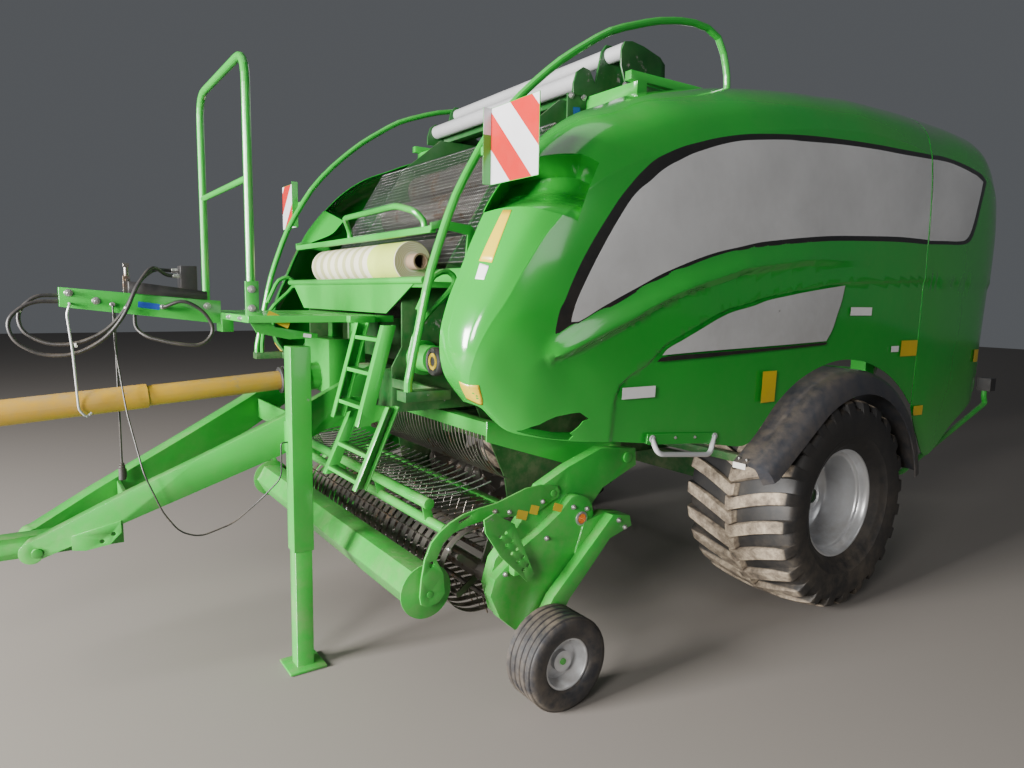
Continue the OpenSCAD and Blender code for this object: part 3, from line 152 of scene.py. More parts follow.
def maths(tree, operation, a, b=0.0, clamp=False):
    return node(tree, "Math", {"operation": operation, "use_clamp": clamp}, i0=a, i1=b).outputs[0]


def times(tree, a, b, clamp=False):
    return maths(tree, "MULTIPLY", a, b, clamp)


def ramp(tree, value, low, high, start=0.0, end=1.0):
    easing = {"interpolation_type": "SMOOTHSTEP"}
    return node(tree, "MapRange", easing, i0=value, i1=low, i2=high, i3=start, i4=end).outputs[0]


def mix_colour(tree, share, a, b):
    mixed = node(tree, "Mix", {"data_type": "RGBA"})
    for socket, value in ((0, share), (6, a), (7, b)):
        fill(tree, mixed.inputs[socket], value)
    return mixed.outputs[2]


def noise(tree, vector, scale, detail=4.0, rough=0.55):
    return node(tree, "TexNoise", Vector=vector, Scale=scale, Detail=detail, Roughness=rough).outputs[0]


def make_settled_dust():
    """dust on what faces up and on what is low, in clouds"""
    tree, given, out = shader_group("settled_dust", [("Amount", "Float", 0.5), ("Reach", "Float", 1.0)],
                                    [("Mask", "Float")])
    place = node(tree, "TexCoord").outputs["Object"]
    height = node(tree, "SeparateXYZ", i0=place).outputs[2]
    facing = node(tree, "SeparateXYZ", i0=node(tree, "NewGeometry").outputs["Normal"]).outputs[2]
    low = maths(tree, "SUBTRACT", 1.0, maths(tree, "DIVIDE", height, given["Reach"]), True)
    flat = ramp(tree, facing, 0.45, 1.0, 0.0, 0.55)
    cloud = times(tree, noise(tree, place, 2.3, 6.0), noise(tree, place, 19.0, 5.0, 0.65))
    laid = maths(tree, "ADD", times(tree, low, 0.8), maths(tree, "ADD", flat, 0.12))
    mask = times(tree, times(tree, laid, ramp(tree, cloud, 0.12, 0.42)), given["Amount"], True)
    tree.links.new(mask, out["Mask"])
    return tree


def make_rubbed_wear():
    """small rubbed spots, more of them in some patches"""
    tree, given, out = shader_group("rubbed_wear", [("Amount", "Float", 0.3), ("Scale", "Float", 14.0)],
                                    [("Mask", "Float")])
    place = node(tree, "TexCoord").outputs["Object"]
    fine = node(tree, "TexNoise", Vector=place, Scale=given["Scale"], Detail=9.0, Roughness=0.72).outputs[0]
    patch = noise(tree, place, 3.1, 3.0)
    spots = maths(tree, "ADD", fine, times(tree, patch, 0.45))
    edge = maths(tree, "SUBTRACT", 0.98, times(tree, given["Amount"], 0.22))
    mask = times(tree, maths(tree, "SUBTRACT", spots, edge), 18.0, True)
    tree.links.new(mask, out["Mask"])
    return tree


def make_skin_grain():
    """the surface's fine grain as a height, and a slow change of tone"""
    tree, given, out = shader_group("skin_grain", [("Scale", "Float", 60.0), ("Streak", "Float", 1.0)],
                                    [("Height", "Float"), ("Tone", "Float")])
    place = node(tree, "TexCoord").outputs["Object"]
    pull = node(tree, "CombineXYZ", i0=given["Streak"], i1=1.0, i2=1.0).outputs[0]
    pulled = node(tree, "VectorMath", {"operation": "MULTIPLY"}, i0=place, i1=pull).outputs[0]
    grain = node(tree, "TexNoise", Vector=pulled, Scale=given["Scale"], Detail=3.0)
    tree.links.new(grain.outputs[0], out["Height"])
    tree.links.new(ramp(tree, noise(tree, pulled, 1.7, 5.0), 0.3, 0.7), out["Tone"])
    return tree


# Finishes
GROUPS = {"dust": make_settled_dust(), "wear": make_rubbed_wear(), "grain": make_skin_grain()}
DUST, CLOD_DARK, CLOD_PALE = (0.235, 0.185, 0.13, 1), (0.17, 0.135, 0.10, 1), (0.40, 0.33, 0.24, 1)
DUST_ROUGH, COAT_ROUGH, GRAIN_DEEP = 0.8, 0.08, 0.002


def use(tree, group, **values):
    placed = tree.nodes.new("ShaderNodeGroup")
    placed.node_tree = GROUPS[group]
    for key, value in values.items():
        placed.inputs[key].default_value = value
    return placed.outputs


def dark(colour, share):
    return (colour[0] * share, colour[1] * share, colour[2] * share, 1)


def finish(name, colour, rough, dust=0.5, reach=1.0, wear=0.3, bare=(0.2, 0.19, 0.18, 1), wear_scale=14.0,
           grain=60.0, streak=1.0, bump=0.05, metal=0.0, coat=0.0, tone=0.82):
    """a paint, rubber, film or metal: its colour with grain, bare spots, and dust up to reach in metres"""
    made = bpy.data.materials.new(name)
    made.use_nodes = True
    tree = made.node_tree
    shader = tree.nodes["Principled BSDF"]
    skin = use(tree, "grain", Scale=grain, Streak=streak)
    laid = use(tree, "dust", Amount=dust, Reach=reach)["Mask"]
    rubbed = use(tree, "wear", Amount=wear, Scale=wear_scale)["Mask"]
    base = mix_colour(tree, skin["Tone"], dark(colour, tone), (*colour, 1))
    base = mix_colour(tree, rubbed, base, bare)
    tree.links.new(mix_colour(tree, laid, base, DUST), shader.inputs["Base Color"])
    dulled = maths(tree, "MAXIMUM", laid, times(tree, rubbed, 0.6))
    tree.links.new(ramp(tree, dulled, 0.0, 1.0, rough, DUST_ROUGH), shader.inputs["Roughness"])
    shader.inputs["Metallic"].default_value = metal
    shader.inputs["Coat Weight"].default_value = coat
    shader.inputs["Coat Roughness"].default_value = COAT_ROUGH
    bumps = node(tree, "Bump", Strength=bump, Distance=GRAIN_DEEP, Height=skin["Height"])
    tree.links.new(bumps.outputs[0], shader.inputs["Normal"])
    return made


# Radii in metres between which the casing ends and the lugs begin
LUG_LOW, LUG_HIGH = 0.570, 0.584


def road_rubber():
    """tyre rubber with dry earth on the lugs' tops"""
    made = finish("road_rubber", (0.010, 0.010, 0.011), 0.62, 0.30, 0.8, 0.1, (0.05, 0.045, 0.04, 1), 30.0,
                  90.0, bump=0.2)
    tree = made.node_tree
    shader = tree.nodes["Principled BSDF"]
    place = node(tree, "SeparateXYZ", i0=node(tree, "TexCoord").outputs["Object"]).outputs
    back = maths(tree, "SUBTRACT", place[1], AXLE_BACK / 1000)
    up = maths(tree, "SUBTRACT", place[2], WHEEL_UP / 1000)
    radius = maths(tree, "SQRT", maths(tree, "ADD", times(tree, back, back), times(tree, up, up)))
    earth = noise(tree, node(tree, "TexCoord").outputs["Object"], 16.0, 6.0, 0.7)
    mask = times(tree, ramp(tree, radius, LUG_LOW, LUG_HIGH), ramp(tree, earth, 0.22, 0.46), True)
    clod = mix_colour(tree, ramp(tree, earth, 0.4, 0.7), CLOD_DARK, CLOD_PALE)
    base = shader.inputs["Base Color"].links[0].from_socket
    tree.links.new(mix_colour(tree, mask, base, clod), shader.inputs["Base Color"])
    rough = shader.inputs["Roughness"].links[0].from_socket
    tree.links.new(maths(tree, "ADD", rough, times(tree, mask, 0.3), True), shader.inputs["Roughness"])
    return made


def make_finishes():
    """finishes by the record's slot or by their own name"""
    made = {
        "cowl_green": finish("cowl_green", (0.014, 0.285, 0.026), 0.17, 0.22, 1.1, 0.05, grain=9.0,
                             bump=0.02, coat=0.8, tone=0.94),
        "green_paint": finish("frame_green", (0.022, 0.33, 0.034), 0.3, 0.45, 1.3, 0.30, grain=40.0,
                              coat=0.3),
        # inner parts: a darker green that is painted shade for the dark inside of the chamber
        "dark_green_paint": finish("inner_green_painted_shade", (0.006, 0.085, 0.014), 0.4, 0.55, 2.0, 0.45, grain=30.0),
        "tyre_rubber": finish("tyre_rubber", (0.018, 0.018, 0.019), 0.7, 0.7, 1.0, 0.2,
                              (0.10, 0.085, 0.07, 1), 30.0, 90.0, bump=0.3),
        "grey_rim": finish("rim_grey", (0.62, 0.63, 0.645), 0.30, 0.35, 1.0, 0.20, (0.15, 0.12, 0.09, 1),
                           metal=0.55),
        "worn_steel": finish("worn_steel", (0.20, 0.187, 0.175), 0.32, 0.55, 1.4, 0.9,
                             (0.13, 0.085, 0.055, 1), 9.0, 45.0, 0.15, 0.2, 0.85),
        "bright_steel": finish("bright_steel", (0.50, 0.50, 0.50), 0.26, 0.35, 1.5, 0.5,
                               (0.22, 0.19, 0.16, 1), 12.0, 60.0, 0.2, 0.1, 0.95),
        "light_grey_tube": finish("light_grey_tube", (0.50, 0.51, 0.53), 0.35, 0.4, 3.0, 0.3, metal=0.3),
        "black_plastic": finish("black_plastic", (0.024, 0.024, 0.026), 0.5, 0.6, 1.3, 0.3,
                                (0.12, 0.11, 0.10, 1), 18.0, 120.0, bump=0.15),
        "yellow_plastic": finish("shield_yellow", (0.50, 0.285, 0.016), 0.42, 0.7, 2.2, 0.6,
                                 (0.28, 0.20, 0.10, 1), 10.0, 35.0, 0.3, 0.08),
        "net_wrap": finish("net_cream", (0.62, 0.60, 0.45), 0.7, 0.3, 2.6, 0.2, (0.5, 0.46, 0.3, 1), 22.0,
                           160.0, bump=0.4),
        "marker_board": finish("board_white", (0.58, 0.58, 0.61), 0.32, 0.2, 3.0, 0.12, (0.5, 0.5, 0.5, 1),
                               grain=80.0),
        "black_rubber": finish("hose_black", (0.016, 0.016, 0.018), 0.42, 0.4, 2.0, 0.2,
                               (0.08, 0.07, 0.06, 1), 20.0, 80.0, bump=0.1),
        "silver_film": finish("silver_film", (0.74, 0.74, 0.74), 0.3, 0.25, 2.5, 0.1, grain=200.0,
                              bump=0.02, metal=0.45, coat=0.3),
        "black_film": finish("black_film", (0.012, 0.012, 0.012), 0.25, 0.2, 2.0, 0.1, coat=0.3),
        "yellow_film": finish("yellow_film", (0.60, 0.43, 0.014), 0.35, 0.25, 2.0, 0.25, (0.5, 0.4, 0.2, 1),
                              coat=0.2),
        "white_film": finish("white_film", (0.75, 0.75, 0.75), 0.35, 0.25, 2.0, 0.2, (0.4, 0.4, 0.4, 1)),
        "blue_film": finish("blue_film", (0.015, 0.07, 0.42), 0.35, 0.25, 2.0, 0.2, (0.3, 0.35, 0.5, 1)),
        "board_red": finish("board_red", (0.48, 0.012, 0.010), 0.3, 0.2, 3.0, 0.1, (0.5, 0.2, 0.18, 1),
                            coat=0.3),
        "board_brown": finish("board_brown", (0.22, 0.15, 0.09), 0.8, 0.3, 3.0, 0.2, (0.3, 0.25, 0.2, 1)),
        "net_olive": finish("net_olive", (0.30, 0.30, 0.10), 0.75, 0.3, 3.0, 0.2, (0.4, 0.4, 0.25, 1)),
        "net_stripe": finish("net_stripe", (0.40, 0.41, 0.20), 0.7, 0.25, 3.0, 0.2, (0.5, 0.5, 0.3, 1),
                             22.0, 160.0, bump=0.4),
        "net_green": finish("net_green", (0.50, 0.62, 0.10), 0.7, 0.25, 3.0, 0.2, (0.6, 0.6, 0.3, 1), 22.0,
                            160.0, bump=0.4),
        "handle_grey": finish("handle_grey", (0.55, 0.56, 0.57), 0.3, 0.3, 1.5, 0.2, (0.3, 0.3, 0.3, 1),
                              metal=0.2, coat=0.2),
        "zinc": finish("zinc", (0.52, 0.52, 0.50), 0.34, 0.35, 1.5, 0.5, (0.2, 0.15, 0.11, 1), 30.0,
                       metal=0.85),
        "amber_glass": finish("amber_glass", (0.85, 0.20, 0.01), 0.18, 0.2, 1.5, 0.1, (0.6, 0.3, 0.1, 1),
                              coat=0.8),
        "fender_plastic": finish("fender_plastic", (0.030, 0.033, 0.042), 0.40, 0.5, 1.4, 0.25,
                                 (0.12, 0.11, 0.10, 1), 18.0, 60.0, bump=0.1),
        "gauge_rubber": finish("gauge_rubber", (0.010, 0.012, 0.017), 0.5, 0.4, 0.6, 0.15,
                               (0.08, 0.07, 0.06, 1), 30.0, 90.0, bump=0.15),
        "strap_white": finish("strap_white", (0.66, 0.64, 0.60), 0.5, 0.4, 2.0, 0.3, (0.4, 0.35, 0.3, 1))}
    made["road_tyre"] = road_rubber()
    return made


# Making pieces
def shade(mesh, angle=35):
    for face in mesh.polygons:
        face.use_smooth = True
    mesh.set_sharp_from_angle(angle=math.radians(angle))


def piece(name, points, faces, body, look, slot=None, angle=35, replaces=()):
    mesh = bpy.data.meshes.new(name)
    mesh.from_pydata([tuple(p) for p in points], [], faces)
    mesh.validate()
    shade(mesh, angle)
    mesh.materials.append(FINISH[look])
    made = bpy.data.objects.new(name, mesh)
    bpy.context.scene.collection.objects.link(made)
    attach(made, body)
    if (slot or look) in SLOTS:
        slot or look
    if replaces:
        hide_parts(*replaces)
    return made


# Solid shapes for pieces, in millimetres, each as (points, faces)
def joined(*parts):
    points, faces = [], []
    for more, sides in parts:
        start = len(points)
        points += list(more)
        faces += [tuple(start + i for i in face) for face in sides]
    return points, faces


def mirrored(part):
    return [(-x, y, z) for x, y, z in part[0]], [tuple(reversed(face)) for face in part[1]]


def both(*parts):
    one = joined(*parts)
    return joined(one, mirrored(one))


def slab(outline, low, high, axis="x"):
    """an outline drawn out between two planes: (y, z) along x, or (x, z) along y"""
    order = {"x": lambda a, b, c: (c, a, b), "y": lambda a, b, c: (a, c, b)}[axis]
    count = len(outline)
    points = [order(a, b, low) for a, b in outline] + [order(a, b, high) for a, b in outline]
    faces = [tuple(range(count - 1, -1, -1)), tuple(range(count, 2 * count))]
    return points, faces + [(i, (i + 1) % count, count + (i + 1) % count, count + i) for i in range(count)]


def block(x0, x1, y0, y1, z0, z1):
    return slab([(y0, z0), (y1, z0), (y1, z1), (y0, z1)], x0, x1)


def lathe(profile, centre, steps=64):
    """a closed outline of (radius, x) turned about a line along x through (y, z)"""
    count = len(profile)
    points = []
    for i in range(steps):
        turn = WHOLE_TURN * i / steps
        points += [(x, centre[0] + r * math.cos(turn), centre[1] + r * math.sin(turn)) for r, x in profile]
    faces = []
    for i in range(steps):
        for j in range(count):
            a, b = i * count + j, i * count + (j + 1) % count
            c, d = ((i + 1) % steps) * count + (j + 1) % count, ((i + 1) % steps) * count + j
            faces.append((a, b, c, d))
    return points, faces


# Radius that closes a turned shape at its middle
PIN = 0.05


def disc(radius, x0, x1, centre=(0, 0), steps=24, edge=1.5):
    flat = radius - edge
    return lathe([(PIN, x0), (flat, x0), (radius, x0 + edge), (radius, x1 - edge), (flat, x1), (PIN, x1)],
                 centre, steps)


def swept(path, radius, sides=14):
    """a round tube with closed ends along a path"""
    path = [Vector(p) for p in path]
    count = len(path)
    ways = [(path[min(i + 1, count - 1)] - path[max(i - 1, 0)]).normalized() for i in range(count)]
    across = ways[0].orthogonal().normalized()
    points, faces = [], []
    for middle, way in zip(path, ways):
        across = (across - way * across.dot(way)).normalized()
        other = way.cross(across)
        for k in range(sides):
            turn = WHOLE_TURN * k / sides
            points.append(tuple(middle + across * (radius * math.cos(turn))
                                + other * (radius * math.sin(turn))))
    for i in range(count - 1):
        for k in range(sides):
            a, b = i * sides + k, i * sides + (k + 1) % sides
            faces.append((a, b, b + sides, a + sides))
    return points, faces + [tuple(range(sides - 1, -1, -1)),
                            tuple((count - 1) * sides + k for k in range(sides))]


def eased(path, bend, steps=8):
    """a path with its corners rounded"""
    path = [Vector(p) for p in path]
    made = [path[0]]
    for before, corner, after in zip(path, path[1:], path[2:]):
        back, ahead = before - corner, after - corner
        cut = min(bend, 0.48 * back.length, 0.48 * ahead.length)
        start, stop = corner + back.normalized() * cut, corner + ahead.normalized() * cut
        for k in range(steps + 1):
            t = k / steps
            made.append(start * (1 - t) ** 2 + corner * 2 * t * (1 - t) + stop * t * t)
    return made + [path[-1]]


def turned(part, place, way):
    """a part drawn along x about the origin, set at a place so that its x points that way"""
    turn = Vector(way).normalized().to_track_quat("X", "Z").to_matrix()
    return [tuple(turn @ Vector(p) + Vector(place)) for p in part[0]], part[1]


def bolt(place, way, size):
    """a hexagon head on its washer, with the stud's end; size is half the head's width"""
    washer = disc(size * 1.25, 0, size * 0.22, (0, 0), 20, 0.5)
    outline = [(PIN, 0), (size, size * 0.2), (size, size * 0.75), (size * 0.86, size * 0.9),
               (PIN, size * 0.9)]
    head = lathe(outline, (0, 0), 6)
    stem = disc(size * 0.5, size * 0.85, size * 1.4, (0, 0), 12, 0.6)
    return turned(joined(washer, head, stem), place, way)


def bolts(places, way, size):
    return joined(*[bolt(place, way, size) for place in places])


def shape(name, part, body, look, slot=None, angle=35, replaces=(), round_edges=0.0):
    """a piece from a solid shape, its faces turned outward, and its edges rounded by so many millimetres"""
    made = piece(name, [at(*p) for p in part[0]], part[1], body, look, slot, angle, replaces)
    bm = bmesh.new()
    bm.from_mesh(made.data)
    bmesh.ops.recalc_face_normals(bm, faces=bm.faces)
    bm.to_mesh(made.data)
    bm.free()
    shade(made.data, angle)
    if round_edges:
        soften(made, round_edges)
    return made


def soften(made, width, angle=32):
    rounder = made.modifiers.new("edges", "BEVEL")
    rounder.width = width / 1000
    rounder.segments = 2
    rounder.limit_method = "ANGLE"
    rounder.angle_limit = math.radians(angle)
    rounder.use_clamp_overlap = True
    rounder.harden_normals = False


def flowing(outline, steps=6, corner=50):
    """a closed outline drawn as a smooth line that keeps its sharp corners"""
    made, count = [], len(outline)
    points = [Vector(p) for p in outline]

    def leaving(i, j, k, run):
        before, after = points[j] - points[i], points[k] - points[j]
        if before.angle(after) < math.radians(corner):
            return ((points[k] - points[i]) * 0.5).normalized() * run.length
        return run

    for i in range(count):
        a, b, c, d = (i - 1) % count, i, (i + 1) % count, (i + 2) % count
        run = points[c] - points[b]
        first, last = leaving(a, b, c, run), leaving(b, c, d, run)
        parts = steps if run.length > 30 else 2
        for k in range(parts):
            t = k / parts
            spot = points[b] * (2 * t ** 3 - 3 * t * t + 1) + first * (t ** 3 - 2 * t * t + t)
            spot = spot + points[c] * (3 * t * t - 2 * t ** 3) + last * (t ** 3 - t * t)
            made.append((spot.x, spot.y))
    return made


def crossing(values, i, t):
    """a value between the i-th and the next, on a smooth curve through all of them"""
    a, b, c, d = (values[max(0, min(len(values) - 1, i + k))] for k in (-1, 0, 1, 2))
    return 0.5 * (2 * b + (c - a) * t + (2 * a - 5 * b + 4 * c - d) * t * t
                  + (3 * b - a - 3 * c + d) * t ** 3)


def finer(rows, steps):
    """the rows with more rows between them, each column on a smooth curve"""
    made = []
    for i in range(len(rows) - 1):
        for k in range(steps):
            made.append([crossing([row[c] for row in rows], i, k / steps) for c in range(len(rows[0]))])
    return made + [list(rows[-1])]


# Cowlings: the same lines as the solids, drawn finer
# Each line: y and z on the crest, y and z at the foot, x where the side is widest
CREST_X = 1120
DOOR_LINES = [(-2263, 1300, -2200, 1240, 1240), (-2354, 1420, -2140, 1190, 1270),
              (-2373, 1561, -2040, 1160, 1310), (-2340, 1700, -1940, 1140, 1340),
              (-2284, 1827, -1820, 1125, 1365), (-2210, 1990, -1700, 1115, 1380),
              (-2118, 2151, -1570, 1100, 1392), (-1938, 2357, -1400, 1080, 1400),
              (-1756, 2492, -1200, 1060, 1405), (-1561, 2577, -1000, 1035, 1410),
              (-1370, 2653, -800, 1010, 1410), (-1100, 2715, -700, 1065, 1410),
              (-810, 2771, -535, 1220, 1410), (-410, 2824, -330, 1336, 1410), (-100, 2850, -60, 1404, 1410),
              (132, 2871, 200, 1396, 1410), (440, 2880, 450, 1324, 1410), (640, 2885, 640, 1222, 1410),
              (780, 2886, 780, 1108, 1410)]
REAR_LINES = [(792, 2886, 792, 1086, 1410), (880, 2886, 880, 915, 1410), (1036, 2884, 1036, 758, 1410),
              (1337, 2872, 1337, 928, 1405), (1600, 2830, 1560, 1030, 1395), (1784, 2640, 1666, 1090, 1375),
              (1850, 2300, 1680, 1200, 1350), (1862, 2102, 1700, 1330, 1330)]
# Share of the way down, share of the way out
BULGE = [(0, 0), (0.015, 0.30), (0.045, 0.58), (0.09, 0.80), (0.16, 0.93), (0.28, 0.985), (0.5, 1),
         (0.8, 0.985), (1, 0.95)]
# The ridge under the upper film and the step over the lower one, as (y, z)
RIDGE = [(-1960, 1500), (-1873, 1535), (-1742, 1588), (-1605, 1643), (-1462, 1707), (-1311, 1763),
         (-1184, 1798), (-900, 1870), (-400, 1930), (700, 1960), (2000, 1960)]
LOWER_STEP = [(-1670, 1080), (-1668, 1300), (-1645, 1361), (-1590, 1400), (-1500, 1440), (-1430, 1495),
              (-1395, 1526), (-1300, 1566), (-1172, 1618), (-1076, 1657), (-976, 1689), (-826, 1718),
              (-714, 1746), (-522, 1774), (-272, 1806), (-57, 1831), (800, 1864), (2000, 1864)]
# The intake's mouth, with its open end drawn past the cowling's inner edge
SCOOP = [(1090, -2115, 2285), (1234, -1955, 2291), (1330, -1848, 2295), (1365, -1785, 2266),
         (1387, -1852, 2162), (1395, -1911, 2032), (1360, -2038, 2063), (1262, -2122, 2074),
         (1066, -2290, 2096)]
SCOOP_SHALLOW, SCOOP_DEEP = 18, 168
SCOOP_IN = Vector((-0.783, 0.471, -0.407))
SCOOP_ACROSS = SCOOP_IN.cross(Vector((0, 0, 1))).normalized()
SCOOP_UP = SCOOP_ACROSS.cross(SCOOP_IN).normalized()


def on_mouth(point):
    return SCOOP_ACROSS.dot(Vector(point)), SCOOP_UP.dot(Vector(point))


MOUTH = [on_mouth(p) for p in SCOOP]


def beside(path, y, z):
    """distance from a line of (y, z), above it positive"""
    nearest, sign = math.inf, 1
    for (y0, z0), (y1, z1) in zip(path, path[1:]):
        run = (y1 - y0, z1 - z0)
        length = run[0] ** 2 + run[1] ** 2
        share = max(0, min(1, ((y - y0) * run[0] + (z - z0) * run[1]) / length))
        off = math.hypot(y - y0 - share * run[0], z - z0 - share * run[1])
        if off < nearest:
            nearest, sign = off, 1 if run[0] * (z - z0) - run[1] * (y - y0) > 0 else -1
    return nearest * sign


def inside(outline, y, z):
    hit = False
    for (y0, z0), (y1, z1) in zip(outline, outline[1:] + outline[:1]):
        if (z0 > z) != (z1 > z) and y < (y1 - y0) * (z - z0) / (z1 - z0) + y0:
            hit = not hit
    return hit


def smooth(value, low, high):
    share = max(0, min(1, (value - low) / (high - low)))
    return share * share * (3 - 2 * share)


# How deep the pressed lines are, where on the side they may lie, and how near a face is to be cut by one
RIDGE_DROP, RIDGE_RISE, STEP_DROP = 36, 25, 9
PRESSED_FRONT, PRESSED_BACK, PRESSED_LOW, LINE_NEAR = -2200, 300, 1290, 60
PANEL_X, BULGE_WIDE, FRONT_BACK = 1250, 190, -1700


def pressed_in(y, z):
    """depth of the pressed lines on the cowling's side"""
    under = -beside(RIDGE, y, z)
    fade = (1 - smooth(y, -1100, 400)) * smooth(y, -2120, -1900)
    inward = fade * (RIDGE_DROP * smooth(under, -8, 26) - RIDGE_RISE * smooth(under, -100, -14))
    return inward + STEP_DROP * smooth(-beside(LOWER_STEP, y, z), -4, 10)


BULGE_FINE = finer(BULGE[:5], 12)[:-1] + finer(BULGE[4:], 12)


def cowl_points(lines):
    """the outer skin as rows of points"""
    rows = []
    for top_y, top_z, foot_y, foot_z, wide in finer(lines, 12):
        rows.append([Vector((CREST_X + (wide - CREST_X) * out, top_y + (foot_y - top_y) * down,
                             top_z + (foot_z - top_z) * down)) for down, out in BULGE_FINE])
    return rows


def press_lines(bm):
    """cuts the faces along the pressed lines, then sets them in or out"""
    for path, places in ((RIDGE, (14, 8, -26)), (LOWER_STEP, (4, -10))):
        for start, end in zip(path, path[1:]):
            if not PRESSED_FRONT <= start[0] <= PRESSED_BACK or start[1] < PRESSED_LOW:
                continue
            run = (Vector(end) - Vector(start)).normalized()
            side = Vector((0, -run.y, run.x))
            middle, half = (Vector(start) + Vector(end)) / 2, (Vector(end) - Vector(start)).length / 2 + 40
            faces = []
            for face in bm.faces:
                spot = face.calc_center_median()
                if (spot.x > PANEL_X and (Vector(spot[1:]) - middle).length < half
                        and abs(side.dot(spot - Vector((0, *start)))) < LINE_NEAR):
                    faces.append(face)
            for place in places:
                faces = [f for f in faces if f.is_valid]
                edges = list({e for f in faces for e in f.edges})
                verts = list({v for f in faces for v in f.verts})
                made = bmesh.ops.bisect_plane(bm, geom=faces + edges + verts, plane_no=side,
                                              plane_co=Vector((0, *start)) + side * place)["geom"]
                faces = [f for f in made if isinstance(f, bmesh.types.BMFace)]
    bm.normal_update()
    for vert, facing in [(v, v.normal.copy()) for v in bm.verts]:
        if facing.x + 0.3 * facing.z < 0:
            facing = -facing
        out = smooth((vert.co.x - CREST_X) / BULGE_WIDE, 0.6, 0.99)
        vert.co -= facing * pressed_in(vert.co.y, vert.co.z) * out


def cut_along(bm, outline, flat, near, reach):
    """cuts the faces close to each edge of an outline, so that the outline is crisp"""
    for k, start in enumerate(outline):
        end = outline[(k + 1) % len(outline)]
        middle = (Vector(flat(start)) + Vector(flat(end))) / 2
        half = (Vector(flat(end)) - Vector(flat(start))).length / 2 + reach
        faces = [f for f in bm.faces if near(f.calc_center_median())
                 and (Vector(flat(f.calc_center_median())) - middle).length < half]
        edges = {e for f in faces for e in f.edges}
        verts = {v for f in faces for v in f.verts}
        yield start, end, faces + list(edges) + list(verts)


def thicken(bm, depth):
    """adds the inner skin and closes the rims between the two"""
    bm.normal_update()
    faces = bm.faces[:]
    rims = [e.link_loops[0] for e in bm.edges if len(e.link_faces) == 1]
    rims = [(loop.vert, loop.link_loop_next.vert) for loop in rims]
    inner = {vert: bm.verts.new(vert.co - vert.normal * depth) for vert in bm.verts[:]}
    for face in faces:
        bm.faces.new([inner[v] for v in reversed(face.verts)])
    for a, b in rims:
        bm.faces.new((b, a, inner[a], inner[b]))


def press_mouth(bm):
    """the air intake in the front shoulder, deepest under its upper edge"""
    def near(p):
        return p.y < FRONT_BACK and p.z > 1990

    for start, end, geom in cut_along(bm, SCOOP, on_mouth, near, 30):
        across = (Vector(end) - Vector(start)).cross(SCOOP_IN).normalized()
        bmesh.ops.bisect_plane(bm, geom=geom, plane_co=Vector(start), plane_no=across)
    faces = [f for f in bm.faces if near(f.calc_center_median())]
    faces = [f for f in faces if inside(MOUTH, *on_mouth(f.calc_center_median()))]
    made = bmesh.ops.extrude_face_region(bm, geom=faces)["geom"]
    bmesh.ops.delete(bm, geom=[f for f in faces if f.is_valid], context="FACES_ONLY")
    low, high = min(b for a, b in MOUTH), max(b for a, b in MOUTH)
    for vert in [v for v in made if isinstance(v, bmesh.types.BMVert)]:
        share = (on_mouth(vert.co)[1] - low) / (high - low)
        vert.co += SCOOP_IN * (SCOOP_SHALLOW + (SCOOP_DEEP - SCOOP_SHALLOW) * smooth(share, 0.05, 0.75))


def tear_out(bm):
    """the broken lower front edge of the near cowling"""
    def flat(p):
        return p[-2], p[-1]

    for start, end, geom in cut_along(bm, TEAR, flat, lambda p: p.y < FRONT_BACK and p.z < 1500, 14):
        across = Vector((0, start[1] - end[1], end[0] - start[0])).normalized()
        bmesh.ops.bisect_plane(bm, geom=geom, plane_co=Vector((0, *start)), plane_no=across)
    gone = [f for f in bm.faces if f.calc_center_median().y < -1500
            and inside(TEAR, *flat(f.calc_center_median()))]
    bmesh.ops.delete(bm, geom=gone, context="FACES")


# Each side's outer skin as points and faces, and as a tree that films and labels are laid on
SKIN_ABOVE = {1: [[], []], -1: [[], []]}
COWL = {}
COWL_THICK = 5


def cowl(name, lines, body, hand, replaces=(), front=False):
    """one cowling's panel, with its pressed lines and, in front, its intake and the near one's broken edge"""
    skin = cowl_points(lines)
    wide = len(skin[0])
    corners = [i * wide + j for i in range(len(skin) - 1) for j in range(wide - 1)]
    faces = [(k, k + 1, k + wide + 1, k + wide) for k in corners]
    above = SKIN_ABOVE[hand]
    above[1] += [tuple(len(above[0]) + k for k in f) for f in faces]
    above[0] += [at(hand * p.x, p.y, p.z) for row in skin for p in row]
    bm = bmesh.new()
    verts = [bm.verts.new(p) for row in skin for p in row]
    for f in faces:
        bm.faces.new([verts[k] for k in f])
    press_lines(bm)
    if front:
        press_mouth(bm)
        if hand > 0:
            tear_out(bm)
    bmesh.ops.remove_doubles(bm, verts=bm.verts[:], dist=0.4)
    bmesh.ops.recalc_face_normals(bm, faces=bm.faces)
    if sum(f.normal.x * f.calc_area() for f in bm.faces) < 0:
        bmesh.ops.reverse_faces(bm, faces=bm.faces)
    thicken(bm, COWL_THICK)
    for vert in bm.verts:
        vert.co = at(hand * vert.co.x, vert.co.y, vert.co.z)
    bmesh.ops.recalc_face_normals(bm, faces=bm.faces)
    made = piece(name, [], [], body, "cowl_green", "green_paint", 50, replaces)
    bm.to_mesh(made.data)
    bm.free()
    shade(made.data, 50)
    return made


FILM_THICK = 0.3
RAY_START, RAY_REACH = 1700, 0.8


